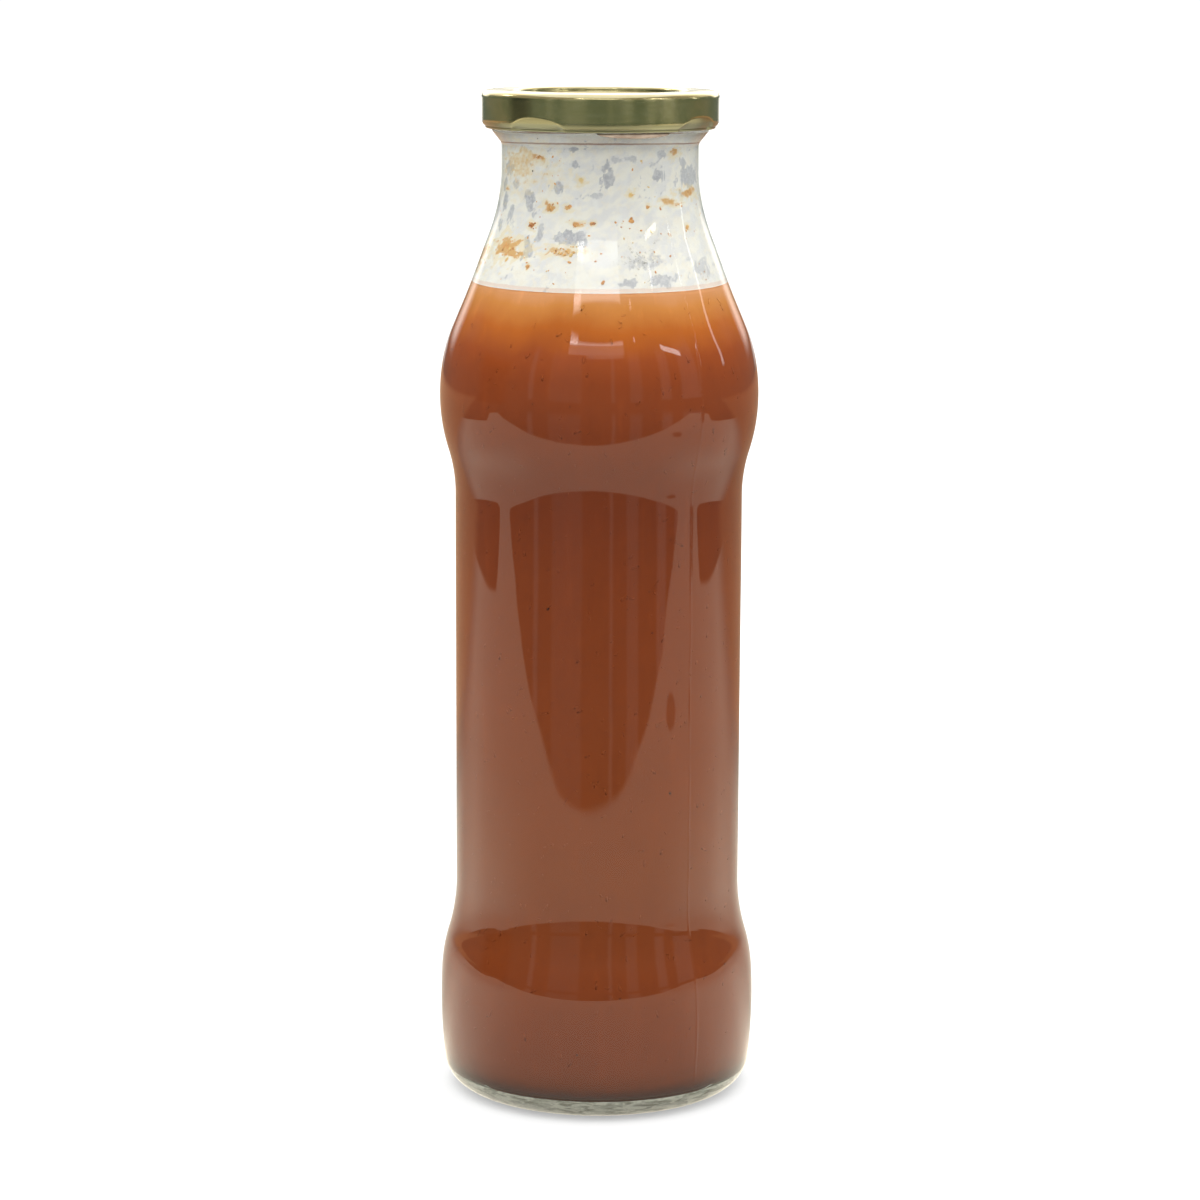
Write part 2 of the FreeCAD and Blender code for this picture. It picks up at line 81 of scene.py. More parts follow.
def wall_profile(o, top=None, fine=1.0):
    """The wall moved in by o, heel first. Ends on the cone at the height top, or
    at the top of the upright neck."""
    def n(k):
        return max(3, int(round(k * fine)))
    cr = Z["base_crown"] - o
    cx, cz = Z["base_radius"] - Z["base_crown"], Z["base_height"]
    beta = math.asin(Z["base_crown_rise"] / Z["base_crown"])
    if o == 0:
        hr = Z["heel_radius"]
        hz = hr
        hx = cx + math.sqrt((cr - hr) ** 2 - (hz - cz) ** 2)
        a0 = -math.pi / 2
    else:
        hr = Z["inner_heel"] + Z["wall"] - o
        dome = Z["floor_dome"] - (Z["wall"] - o)
        dz = Z["floor_height"] - Z["floor_dome"]
        d1, d2 = cr - hr, dome + hr
        ex, ey = -cx, dz - cz
        d = math.hypot(ex, ey)
        along = (d1 * d1 - d2 * d2 + d * d) / (2 * d)
        side = math.sqrt(d1 * d1 - along * along)
        hx = cx + along * ex / d - side * ey / d
        hz = cz + along * ey / d + side * ex / d
        a0 = math.atan2(dz - hz, -hx)
    a1 = math.atan2(hz - cz, hx - cx)
    if a0 > a1:
        a0 -= 2 * math.pi
    edge, waist = Z["base_edge"], Z["waist_fillet"]
    ex_, ez_ = cx + (Z["base_crown"] - edge) * math.cos(beta), cz + (Z["base_crown"] - edge) * math.sin(beta)
    wx = Z["body_radius"] + waist
    wz = ez_ + math.sqrt((edge + waist) ** 2 - (wx - ex_) ** 2)
    a2 = math.atan2(wz - ez_, wx - ex_)
    hollow, crown = Z["shoulder_fillet"], Z["shoulder_crown"]
    sx, sz = Z["shoulder_radius"] - crown, Z["shoulder_height"]
    ox = Z["body_radius"] + hollow
    oz = sz - math.sqrt((hollow + crown) ** 2 - (ox - sx) ** 2)
    a3 = math.atan2(oz - sz, ox - sx)
    taper = math.radians(Z["neck_taper"])
    nf = Z["neck_fillet"]
    p6 = (sx + (crown - o) * math.cos(taper), sz + (crown - o) * math.sin(taper))
    jx = Z["neck_radius"] - o + (nf + o) * (1 - math.cos(taper))
    jz = p6[1] + (p6[0] - jx) / math.tan(taper)
    nz = jz + (nf + o) * math.sin(taper)
    pts = arc(hx, hz, hr, a0, a1, n(14))
    pts += arc(cx, cz, cr, a1, beta, n(16))
    pts += arc(ex_, ez_, edge - o, beta, a2, n(16))
    pts += arc(wx, wz, waist + o, a2 + math.pi, math.pi, n(16))
    pts += run((Z["body_radius"] - o, wz), (Z["body_radius"] - o, oz), n(44))
    pts += arc(ox, oz, hollow + o, math.pi, math.pi + a3, n(18))
    pts += arc(sx, sz, crown - o, a3, taper, n(24))
    if top is not None:
        k = (top - p6[1]) * math.tan(taper)
        pts += run(p6, (p6[0] - k, top), n(12)) + [(p6[0] - k, top)]
        return pts
    pts += run(p6, (jx, jz), n(14))
    pts += arc(Z["neck_radius"] + nf, nz, nf + o, math.pi + taper, math.pi, n(14))
    pts += run((Z["neck_radius"] - o, nz), (Z["neck_radius"] - o, Z["neck_top"]), n(8))
    return pts


INNER = np.array(wall_profile(Z["wall"]) + [(Z["neck_radius"] - Z["wall"], RIM)])
OUTER = np.array(wall_profile(0.0) + [(Z["neck_radius"], Z["neck_top"])])


def inner_r(z):
    keep = INNER[14:]
    return np.interp(z, keep[:, 1], keep[:, 0])


def slope_in(z):
    return (inner_r(z + 0.4) - inner_r(z - 0.4)) / 0.8


# ---------------------------------------------------------------------------
# Smooth seeded noise
# ---------------------------------------------------------------------------
def lattice(ix, iy, iz, seed):
    h = (ix.astype(np.int64) * 374761393 + iy.astype(np.int64) * 668265263
         + iz.astype(np.int64) * 2147483647 + seed * 1274126177) & 0xFFFFFFFF
    h = ((h ^ (h >> 13)) * 1274126177) & 0xFFFFFFFF
    h = ((h ^ (h >> 16)) * 2246822519) & 0xFFFFFFFF
    return (h & 0xFFFFFF) / float(0xFFFFFF)


def noise(x, y, z, seed=0):
    """Value noise from 0 to 1."""
    x, y, z = np.broadcast_arrays(np.asarray(x, float), np.asarray(y, float), np.asarray(z, float))
    fx, fy, fz = np.floor(x), np.floor(y), np.floor(z)
    u, v, w = x - fx, y - fy, z - fz
    u, v, w = (t * t * t * (t * (6 * t - 15) + 10) for t in (u, v, w))
    out = 0
    for a in (0, 1):
        for b in (0, 1):
            for c in (0, 1):
                wt = (u if a else 1 - u) * (v if b else 1 - v) * (w if c else 1 - w)
                out = out + wt * lattice(fx + a, fy + b, fz + c, seed)
    return out


def fbm(x, y, z, seed=0, octaves=4, gain=0.5):
    total, amp, norm = 0, 1.0, 0.0
    for k in range(octaves):
        total = total + amp * noise(x * 2 ** k, y * 2 ** k, z * 2 ** k, seed + 17 * k)
        norm += amp
        amp *= gain
    return total / norm


def sstep(x, a, b):
    t = np.clip((x - a) / (b - a), 0, 1)
    return t * t * (3 - 2 * t)


def wrap(d):
    return (d + 180.0) % 360.0 - 180.0


# ---------------------------------------------------------------------------
# Mesh helpers
# ---------------------------------------------------------------------------
def make(name, verts, faces, smooth=True, attrs=None):
    mesh = bpy.data.meshes.new(name)
    verts = np.asarray(verts, float) * MM
    mesh.from_pydata([tuple(v) for v in verts.tolist()], [], faces)
    mesh.update()
    if smooth:
        mesh.polygons.foreach_set("use_smooth", [True] * len(mesh.polygons))
    for key, data in (attrs or {}).items():
        if np.ndim(data) == 1:
            a = mesh.attributes.new(key, "FLOAT", "POINT")
            a.data.foreach_set("value", np.asarray(data, np.float32))
        else:
            a = mesh.attributes.new(key, "FLOAT_COLOR", "POINT")
            rgba = np.ones((len(data), 4), np.float32)
            rgba[:, :3] = data
            a.data.foreach_set("color", rgba.ravel())
    obj = bpy.data.objects.new(name, mesh)
    bpy.context.scene.collection.objects.link(obj)
    return obj


def spin(profile, angles, shape=None, closed=False):
    """Closed lathe mesh. profile: (r, z) rows; rows with r == 0 become one point.
    shape(r, z, az, row) gives the new r and z for whole rings."""
    verts, rings = [], []
    az = np.asarray(angles)
    for row, (r, z) in enumerate(profile):
        if r < 1e-6:
            rings.append([len(verts)])
            verts.append((0.0, 0.0, z))
            continue
        rr, zz = np.full(len(az), float(r)), np.full(len(az), float(z))
        if shape is not None:
            rr, zz = shape(rr, zz, az, row)
        a = np.radians(az)
        start = len(verts)
        verts.extend(np.stack([rr * np.sin(a), -rr * np.cos(a), zz], 1).tolist())
        rings.append(list(range(start, start + len(az))))
    faces = []
    pairs = list(zip(rings, rings[1:]))
    if closed:
        pairs.append((rings[-1], rings[0]))
    for p, q in pairs:
        if len(p) == 1 and len(q) == 1:
            continue
        m = max(len(p), len(q))
        for i in range(m):
            j = (i + 1) % m
            if len(p) == 1:
                faces.append((p[0], q[j], q[i]))
            elif len(q) == 1:
                faces.append((p[i], p[j], q[0]))
            else:
                faces.append((p[i], p[j], q[j], q[i]))
    return verts, faces


def fix_normals(obj):
    """Turns every face of a closed mesh outwards."""
    import bmesh
    bm = bmesh.new()
    bm.from_mesh(obj.data)
    bmesh.ops.recalc_face_normals(bm, faces=bm.faces)
    if bm.calc_volume(signed=True) < 0:
        bmesh.ops.reverse_faces(bm, faces=bm.faces)
    bm.to_mesh(obj.data)
    bm.free()
    return obj


def blobs(items, detail=1):
    """Many small closed lumps in one mesh. items: (centre, axes 3x3 rows scaled,
    seed). Returns verts, faces and the index of the lump of each vertex."""
    g = (1 + 5 ** 0.5) / 2
    base = np.array([(-1, g, 0), (1, g, 0), (-1, -g, 0), (1, -g, 0), (0, -1, g), (0, 1, g),
                     (0, -1, -g), (0, 1, -g), (g, 0, -1), (g, 0, 1), (-g, 0, -1), (-g, 0, 1)], float)
    base /= np.linalg.norm(base[0])
    tris = [(0, 11, 5), (0, 5, 1), (0, 1, 7), (0, 7, 10), (0, 10, 11), (1, 5, 9), (5, 11, 4),
            (11, 10, 2), (10, 7, 6), (7, 1, 8), (3, 9, 4), (3, 4, 2), (3, 2, 6), (3, 6, 8),
            (3, 8, 9), (4, 9, 5), (2, 4, 11), (6, 2, 10), (8, 6, 7), (9, 8, 1)]
    for k in range(detail):
        pts, mids, new = [tuple(p) for p in base], {}, []

        def mid(a, b):
            key = (min(a, b), max(a, b))
            if key not in mids:
                m = (np.array(pts[a]) + np.array(pts[b])) / 2
                mids[key] = len(pts)
                pts.append(tuple(m / np.linalg.norm(m)))
            return mids[key]
        for a, b, c in tris:
            x, y, w = mid(a, b), mid(b, c), mid(c, a)
            new += [(a, x, w), (b, y, x), (c, w, y), (x, y, w)]
        base, tris = np.array(pts), new
    verts, faces, which = [], [], []
    for number, (centre, axes, seed) in enumerate(items):
        f = 1 + 0.55 * (noise(base[:, 0] * 1.3 + seed * 3.1, base[:, 1] * 1.3, base[:, 2] * 1.3, 5) - 0.5)
        pts = (base * f[:, None]) @ np.asarray(axes) + np.asarray(centre)
        s = len(verts)
        verts.extend(pts.tolist())
        faces.extend([(s + a, s + b, s + c) for a, b, c in tris])
        which.extend([number] * len(pts))
    return verts, faces, np.array(which)


def on_wall(az, z, inset, turn, la, lb, lc):
    """Centre and axes of a lump lying against the wall: la along, lb across, lc thick."""
    a = math.radians(az)
    r = float(np.interp(z, OUTER[14:, 1], OUTER[14:, 0])) - inset
    dr = float(np.interp(z + 0.4, OUTER[14:, 1], OUTER[14:, 0])
               - np.interp(z - 0.4, OUTER[14:, 1], OUTER[14:, 0])) / 0.8
    out = Vector((math.sin(a), -math.cos(a), -dr)).normalized()
    east = Vector((math.cos(a), math.sin(a), 0))
    up = out.cross(east).normalized()
    t = math.radians(turn)
    e1 = east * math.cos(t) + up * math.sin(t)
    e2 = up * math.cos(t) - east * math.sin(t)
    return ((r * math.sin(a), -r * math.cos(a), z),
            [tuple(e1 * la), tuple(e2 * lb), tuple(out * lc)])


# ---------------------------------------------------------------------------
# Node helpers
# ---------------------------------------------------------------------------
class Val:
    def __init__(self, net, sock):
        self.net, self.sock = net, sock

    def __add__(self, o): return self.net.math("ADD", self, o)
    def __radd__(self, o): return self.net.math("ADD", o, self)
    def __sub__(self, o): return self.net.math("SUBTRACT", self, o)
    def __rsub__(self, o): return self.net.math("SUBTRACT", o, self)
    def __mul__(self, o): return self.net.math("MULTIPLY", self, o)
    def __rmul__(self, o): return self.net.math("MULTIPLY", o, self)
    def __truediv__(self, o): return self.net.math("DIVIDE", self, o)


class Net:
    def __init__(self, tree):
        self.tree = tree
        tree.nodes.clear()

    def node(self, kind, **props):
        n = self.tree.nodes.new(kind)
        for k, v in props.items():
            setattr(n, k, v)
        return n

    def put(self, sock, v):
        if isinstance(v, Val):
            self.tree.links.new(v.sock, sock)
        elif isinstance(v, bpy.types.NodeSocket):
            self.tree.links.new(v, sock)
        elif isinstance(v, (tuple, list)):
            sock.default_value = (*v, 1.0) if len(v) == 3 and sock.type == "RGBA" else v
        else:
            sock.default_value = v

    def math(self, op, *args):
        n = self.node("ShaderNodeMath", operation=op)
        for i, a in enumerate(args):
            self.put(n.inputs[i], a)
        return Val(self, n.outputs[0])

    def step(self, x, a, b, lo=0.0, hi=1.0):
        n = self.node("ShaderNodeMapRange", interpolation_type="SMOOTHSTEP")
        self.put(n.inputs["Value"], x)
        for k, v in (("From Min", a), ("From Max", b), ("To Min", lo), ("To Max", hi)):
            self.put(n.inputs[k], v)
        return Val(self, n.outputs["Result"])

    def band(self, x, a, b, soft):
        return self.step(x, a - soft, a + soft) * self.step(x, b - soft, b + soft, 1.0, 0.0)

    def mix(self, fac, a, b, kind="MIX"):
        n = self.node("ShaderNodeMix", data_type="RGBA", blend_type=kind)
        self.put(n.inputs[0], fac)
        self.put(n.inputs[6], a)
        self.put(n.inputs[7], b)
        return Val(self, n.outputs[2])

    def noise(self, vec, scale, detail=3.0, rough=0.5, distort=0.0):
        n = self.node("ShaderNodeTexNoise")
        self.put(n.inputs["Vector"], vec)
        n.inputs["Scale"].default_value = scale
        n.inputs["Detail"].default_value = detail
        n.inputs["Roughness"].default_value = rough
        n.inputs["Distortion"].default_value = distort
        return Val(self, n.outputs["Fac"])

    def coord(self, which="Object"):
        return Val(self, self.node("ShaderNodeTexCoord").outputs[which])

    def stretch(self, vec, sx, sy, sz):
        n = self.node("ShaderNodeMapping")
        self.put(n.inputs["Vector"], vec)
        n.inputs["Scale"].default_value = (sx, sy, sz)
        return Val(self, n.outputs[0])

    def parts(self, vec):
        n = self.node("ShaderNodeSeparateXYZ")
        self.put(n.inputs[0], vec)
        return [Val(self, n.outputs[i]) for i in range(3)]

    def attr(self, name, what="Fac"):
        n = self.node("ShaderNodeAttribute", attribute_name=name)
        return Val(self, n.outputs[what])

    def bump(self, height, strength, distance):
        n = self.node("ShaderNodeBump")
        n.inputs["Strength"].default_value = strength
        n.inputs["Distance"].default_value = distance
        self.put(n.inputs["Height"], height)
        return Val(self, n.outputs[0])

    def surface(self, shader):
        out = self.node("ShaderNodeOutputMaterial")
        self.tree.links.new(shader, out.inputs["Surface"])
        return out


def material(name):
    m = bpy.data.materials.new(name)
    m.use_nodes = True
    return m, Net(m.node_tree)


def principled(net, **vals):
    p = net.node("ShaderNodeBsdfPrincipled")
    for key, v in vals.items():
        net.put(p.inputs[key.replace("_", " ")], v)
    return p


def put_on(obj, mat, node=None):
    obj.data.materials.clear()
    obj.data.materials.append(mat)
    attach(obj, "root")
    if node:
        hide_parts(node)
    return obj


# ---------------------------------------------------------------------------
# Bottle glass
# ---------------------------------------------------------------------------
def ring_angles(n, seams=True):
    base = [360.0 * i / n - 180.0 for i in range(n)]
    if not seams:
        return base
    keep = [a for a in base if min(abs(wrap(a - SEAM)), abs(wrap(a - SEAM - 180))) > 1.5]
    for s in (SEAM, SEAM - 180.0):
        keep += [wrap(s + d) for d in (-1.3, -0.9, -0.6, -0.35, -0.15, 0.0, 0.15, 0.35, 0.6, 0.9, 1.3)]
    return sorted(keep)


def outer_shape(r, z, az, row):
    a = np.radians(az)
    # slow unevenness of blown glass
    wav = (fbm(np.sin(a) * 1.6, np.cos(a) * 1.6, z / 34.0, 3, 3) - 0.5) * 0.16
    wav += (noise(np.sin(a) * 5.0, np.cos(a) * 5.0, z / 70.0, 8) - 0.5) * 0.03
    # the mould's seam stands up a little and wanders
    up = np.zeros(len(az))
    for s in (SEAM, SEAM - 180.0):
        d = wrap(az - s) - (noise(z / 9.0, 0.5, s, 9) - 0.5) * 0.5
        up += np.exp(-(d / 0.42) ** 2) * (0.06 + 0.05 * noise(z / 6.0, 2.5, s, 4))
    on = sstep(z, 4.0, 12.0) * (1 - sstep(z, 226.0, 231.5))
    # the cone is not quite straight: steepest just above the shoulder
    d = (z - 192.0) / 9.0
    sway = -0.36 * d * np.exp(-d * d)
    return r + (wav + up + sway) * on * (r > 20), z


def inner_shape(r, z, az, row):
    a = np.radians(az)
    wav = (fbm(np.sin(a) * 1.9, np.cos(a) * 1.9, z / 26.0, 31, 3) - 0.5) * 0.3
    on = sstep(z, 16.0, 30.0) * (1 - sstep(z, 230.0, 236.0))
    return r + wav * on, z


def foot_shape(r, z, az, row):
    """Small press marks round the ring that the bottle stands on."""
    a = np.radians(az)
    mark = 0.5 + 0.5 * np.cos(a * 96)
    ring = np.exp(-((r - 31.2) / 1.6) ** 2)
    return r, z + 0.28 * mark * ring


def build_glass():
    punt_r = (Z["foot_inner"] ** 2 + Z["punt_rise"] ** 2) / (2 * Z["punt_rise"])
    profile, kinds = [], []

    def add(points, kind):
        profile.extend(points)
        kinds.extend([kind] * len(points))
    punt = [(0.0, Z["punt_rise"])]
    for r in (3, 6, 9, 12, 15, 18, 20.5, 22.5, 24.3, 25.8, 27.0, 27.9):
        punt.append((float(r), Z["punt_rise"] - (punt_r - math.sqrt(punt_r ** 2 - r * r))))
    outer = wall_profile(0.0)
    add(punt, "foot")
    foot_low = outer[0]
    add([(Z["foot_inner"], 0.02)] + run((Z["foot_inner"] + 0.3, 0.0), foot_low, 5), "foot")
    add(outer[:5], "foot")
    add(outer[5:], "out")
    # small round where the neck flares out, the ring, and the wall of the mouth
    add([(23.72, 232.05), (23.76, 232.35), (23.92, 232.7), (24.45, 233.4), (25.1, 234.2),
         (25.65, 234.9), (25.85, 235.12), (25.97, 235.25), (26.0, 235.35), (25.95, 235.5),
         (25.75, 235.72), (25.45, 235.95), (25.25, 236.2), (25.2, 236.6)], "top")
    add(run((25.2, 237.0), (25.2, RIM - 1.0), 4), "top")
    add(arc(25.2 - 0.9, RIM - 0.9, 0.9, 0.0, math.pi / 2, 6), "top")
    add([(24.0, RIM), (22.6, RIM)], "top")
    add(arc(21.22 + 0.9, RIM - 0.9, 0.9, math.pi / 2, math.pi, 6), "top")
    add(run((21.22, RIM - 1.2), (21.22, Z["neck_top"]), 8), "top")
    add(list(reversed(wall_profile(Z["wall"]))), "in")
    dome_z = Z["floor_height"] - Z["floor_dome"]
    last = profile[-1][0]
    for r in np.linspace(last - 1.5, 1.5, 12):
        add([(float(r), dome_z + math.sqrt(Z["floor_dome"] ** 2 - r * r))], "in")
    add([(0.0, Z["floor_height"])], "in")

    def shape(r, z, az, row):
        if kinds[row] == "out":
            return outer_shape(r, z, az, row)
        if kinds[row] == "in":
            return inner_shape(r, z, az, row)
        if kinds[row] == "foot":
            return foot_shape(r, z, az, row)
        return r, z
    verts, faces = spin(profile, ring_angles(200), shape)
    obj = fix_normals(make("bottle_glass", verts, faces))
    mat, net = material("clear_glass_thick")
    vec = net.coord()
    ripple = net.noise(net.stretch(vec, 1, 1, 0.35), 60.0, 2.0, 0.4)
    pits = net.step(net.noise(vec, 420.0, 1.0, 0.5), 0.74, 0.86)
    p = principled(net, Base_Color=(0.985, 1.0, 0.99), Roughness=0.0, IOR=1.5,
                   Transmission_Weight=1.0)
    net.put(p.inputs["Normal"], net.bump(ripple * 0.7 + pits * 0.3, 0.05, 0.0004))
    out = net.surface(p.outputs[0])
    vol = net.node("ShaderNodeVolumeAbsorption")
    vol.inputs["Color"].default_value = (0.80, 0.93, 0.76, 1)
    vol.inputs["Density"].default_value = 16.0
    net.tree.links.new(vol.outputs[0], out.inputs["Volume"])
    put_on(obj, mat, "bottle")
    return obj


# ---------------------------------------------------------------------------
# Nectar, the flecks of pulp in it and its dark specks
# ---------------------------------------------------------------------------
def nectar_colour(net):
    """Orange near the level, browner below and darker again towards the bottom, with clouds and fine threads of
    pulp; the bright orange just under the level is painted light falling in from above.
    """
    vec = net.coord()
    x, y, z = net.parts(vec)
    cloud = net.noise(net.stretch(vec, 1, 1, 0.6), 45.0, 4.0, 0.55)
    thread = net.noise(net.stretch(vec, 1, 1, 0.16), 330.0, 3.0, 0.6)
    grain = net.noise(vec, 900.0, 2.0, 0.6)
    zz = z + (cloud - 0.5) * 0.010
    # Painted light: the ramp by height makes the nectar bright orange just under the level, where light falls in
    # from above, and browner lower down.
    ramp = net.node("ShaderNodeValToRGB")
    ramp.color_ramp.interpolation = "LINEAR"
    stops = [(0.0, (0.173, 0.0307, 0.0054)), (0.10, (0.208, 0.0371, 0.0059)),
             (0.30, (0.236, 0.0489, 0.0072)), (0.50, (0.244, 0.0471, 0.0081)),
             (0.64, (0.227, 0.0416, 0.0068)), (0.735, (0.195, 0.0334, 0.0059)),
             (0.838, (0.229, 0.0416, 0.0078)), (0.868, (0.255, 0.0480, 0.0099)),
             (0.898, (0.268, 0.0489, 0.0086)), (0.926, (0.318, 0.0579, 0.0077)),
             (0.958, (0.489, 0.1182, 0.0099)), (0.985, (0.639, 0.2420, 0.0530)),
             (1.0, (0.698, 0.3120, 0.1300))]
    el = ramp.color_ramp.elements
    while len(el) < len(stops):
        el.new(0.5)
    for e, (pos, c) in zip(el, stops):
        e.position = pos
        e.color = (*c, 1)
    net.put(ramp.inputs[0], zz / (FILL * MM))
    c = net.mix(net.step(cloud, 0.35, 0.75) * 0.35, Val(net, ramp.outputs[0]), (1.16, 1.12, 1.1), "MULTIPLY")
    c = net.mix(net.step(thread, 0.56, 0.74) * 0.30, c, (1.28, 1.30, 1.35), "MULTIPLY")
    c = net.mix(net.step(thread, 0.42, 0.28) * 0.22, c, (0.80, 0.74, 0.70), "MULTIPLY")
    c = net.mix(net.step(grain, 0.60, 0.75) * 0.18, c, (1.3, 1.32, 1.4), "MULTIPLY")
    return vec, c, cloud, thread


def build_nectar():
    o = 2.3
    wall = wall_profile(o, FILL - 0.05)
    dome_z = Z["floor_height"] - Z["floor_dome"]
    dome = Z["floor_dome"] - (Z["wall"] - o)
    profile = [(0.0, dome_z + dome)]
    profile += [(float(r), dome_z + math.sqrt(dome ** 2 - r * r))
                for r in np.linspace(2.0, wall[0][0] - 1.2, 14)]
    profile += wall
    rim_r = wall[-1][0]
    # the level turns up where it meets the glass
    for d in (0.15, 0.35, 0.6, 0.95, 1.4, 2.0, 2.8, 4.0, 6.0, 9.0, 13.0, 18.0, 24.0):
        profile.append((rim_r - d, FILL - 0.05 - 1.1 * (1 - math.exp(-d / 1.1))))
    profile.append((0.0, FILL - 1.15))
    verts, faces = spin(profile, ring_angles(192, False))
    obj = fix_normals(make("nectar_fill", verts, faces))
    mat, net = material("pear_nectar_body")
    vec, c, cloud, thread = nectar_colour(net)
    p = principled(net, Base_Color=c, Roughness=0.5, Specular_IOR_Level=0.12, IOR=1.36)
    net.put(p.inputs["Roughness"], net.step(cloud, 0.2, 0.8, 0.42, 0.6))
    net.put(p.inputs["Normal"], net.bump(thread, 0.1, 0.0002))
    net.surface(p.outputs[0])
    put_on(obj, mat, "nectar")
    return obj


def build_pulp():
    """Pale threads and flakes of pulp that lie against the glass."""
    items, tones = [], []
    for k in range(1500):
        az = RNG.uniform(-180, 180)
        z = RNG.uniform(12, 196)
        long_ = RNG.gamma(2.2, 0.18) + 0.12
        wide = long_ * RNG.uniform(0.18, 0.5)
        items.append(on_wall(az, z, 2.30, RNG.normal(70, 40), min(long_, 1.3), min(wide, 0.3), 0.035) + (k,))
        tones.append(RNG.uniform(0.0, 1.0))
    verts, faces, which = blobs(items, 0)
    obj = make("pulp_flecks", verts, faces, True, {"tone": np.array(tones)[which]})
    mat, net = material("pear_pulp")
    # The flecks take the nectar's colour by height, with its painted light near the level.
    vec, c, cloud, thread = nectar_colour(net)
    tone = net.attr("tone")
    c = net.mix(net.step(tone, 0.0, 1.0, 0.2, 1.0), c, (1.12, 1.16, 1.25), "MULTIPLY")
    p = principled(net, Base_Color=c, Roughness=0.5, Specular_IOR_Level=0.12)
    net.surface(p.outputs[0])
    put_on(obj, mat)

    items, tones = [], []
    named = [(-24.7, 173.5, .4), (-10.6, 173.2, .3), (-18.0, 138.2, .35), (-20.9, 124.5, .75),
             (-8.6, 112.1, .4), (22.6, 118.8, .45), (30.5, 140.8, .35), (-7.2, 16.8, .5),
             (8.8, 30.6, .45)]
    for az, z, s in named:
        items.append(on_wall(az, z, 2.28, RNG.uniform(0, 180), s * 0.62, s * 0.4, 0.05) + (len(items),))
        tones.append(RNG.uniform(0.0, 0.3))
    for k in range(110):
        s = 0.08 + RNG.gamma(1.6, 0.06)
        items.append(on_wall(RNG.uniform(-180, 180), RNG.uniform(12, 190), 2.29,
                             RNG.uniform(0, 180), s, s * RNG.uniform(0.4, 0.9), 0.04) + (k + 50,))
        tones.append(RNG.uniform(0.0, 1.0))
    verts, faces, which = blobs(items, 0)
    obj = make("dark_specks", verts, faces, True, {"tone": np.array(tones)[which]})
    mat, net = material("dark_specks_mat")
    tone = net.attr("tone")
    fine = net.noise(net.coord(), 2500.0, 2.0)
    c = net.mix(tone * 0.8 + fine * 0.2, (0.030, 0.009, 0.005), (0.13, 0.030, 0.011))
    p = principled(net, Base_Color=c, Roughness=0.6, Specular_IOR_Level=0.1)
    net.surface(p.outputs[0])
    put_on(obj, mat)


# ---------------------------------------------------------------------------
# Dried film inside the neck
# ---------------------------------------------------------------------------
# azimuth, height, half width in degrees, half height in mm, strength
CLEAR = [(-15.9, 232.0, 4.1, .7, 1.0), (-15.8, 228.5, 2.9, 1.6, 1.0), (-27.7, 222.8, 5.2, 1.6, .9),
         (-45.4, 218.6, 5.2, 3.3, 1.0), (-69.6, 227.1, 8.0, 1.1, .9), (3.6, 225.3, 4.4, 3.6, .9),
         (40.0, 230.3, 4.0, 1.7, .8), (38.9, 225.8, 4.2, 2.4, .9), (69.0, 225.1, 16.0, 2.8, .75),
         (-34.7, 210.7, 3.2, 2.4, .8), (-18.9, 211.0, 10.5, 1.8, 1.0), (-39.7, 206.9, 3.0, 1.4, .9),
         (13.3, 200.9, 5.0, 1.2, .8), (32.8, 201.4, 7.0, 1.9, .8), (-84.0, 216.6, 5.0, 3.0, .7),
         (-62.0, 223.0, 5.0, 1.0, .6), (14.0, 229.6, 8.0, .9, .6), (24.0, 205.4, 13.0, 2.0, .55),
         (-70.1, 226.9, 3.4, 1.8, .9), (-75.9, 222.8, 3.6, 2.2, .9), (-72.4, 219.0, 4.2, 2.2, .9),
         (-62.7, 216.3, 2.6, 2.2, .8), (-73.0, 213.0, 3.2, 1.5, .7), (-42.5, 208.3, 2.8, 2.6, .9),
         (62.8, 205.0, 4.0, 1.3, .6), (72.6, 203.6, 4.0, 1.2, .5), (60.8, 228.6, 5.0, 1.6, .7),
         (-2.0, 221.2, 7.0, .7, .6), (57.0, 203.6, 9.0, 2.2, .6), (-60.0, 213.5, 6.0, 1.4, .5)]
# azimuth, height, half width, half height, tone 0 yellow .. 1 brown, strength
STAINS = [(-57.8, 228.1, 20.0, 4.8, .22, .55), (-31.1, 218.2, 3.3, 1.0, .6, 1.0), (-19.5, 218.3, 2.3, .7, .55, .9),
          (-41.7, 213.4, 2.4, .8, .9, 1.0), (-55.6, 207.8, 11.0, 2.3, .5, 1.0), (-12.5, 214.3, 3.6, .7, .5, .8),
          (-4.2, 214.6, 1.5, .4, .6, .8), (-20.7, 208.0, 9.6, 1.1, .35, .75), (-37.8, 204.1, .9, .7, .5, .9),
          (-84.0, 205.2, 7.0, 4.0, .35, .7), (-11.1, 224.8, 2.0, .9, .12, .9), (-41.1, 230.0, 4.0, .6, .7, .8),
          (-71.0, 221.7, 3.1, .6, .6, .8), (51.8, 231.0, 3.8, 1.2, .6, .8), (65.9, 220.8, 9.4, 1.2, .6, .9),
          (44.0, 219.4, 6.0, .7, .5, .8), (29.4, 218.2, 1.4, .4, .6, .8), (57.3, 212.9, 1.5, .6, .5, .7),
          (18.0, 215.4, .7, .5, .6, .7), (18.6, 221.2, 1.6, .7, .15, .8), (52.0, 218.6, 8.0, .6, .4, .6)]


def patch(az, z, spot, ragged, grow=1.0):
    """Ragged-edged oval, 1 inside, 0 outside."""
    d = np.sqrt((wrap(az - spot[0]) / (spot[2] * grow)) ** 2 + ((z - spot[1]) / (spot[3] * grow)) ** 2)
    return 1 - sstep(d + ragged, 0.55, 1.25)


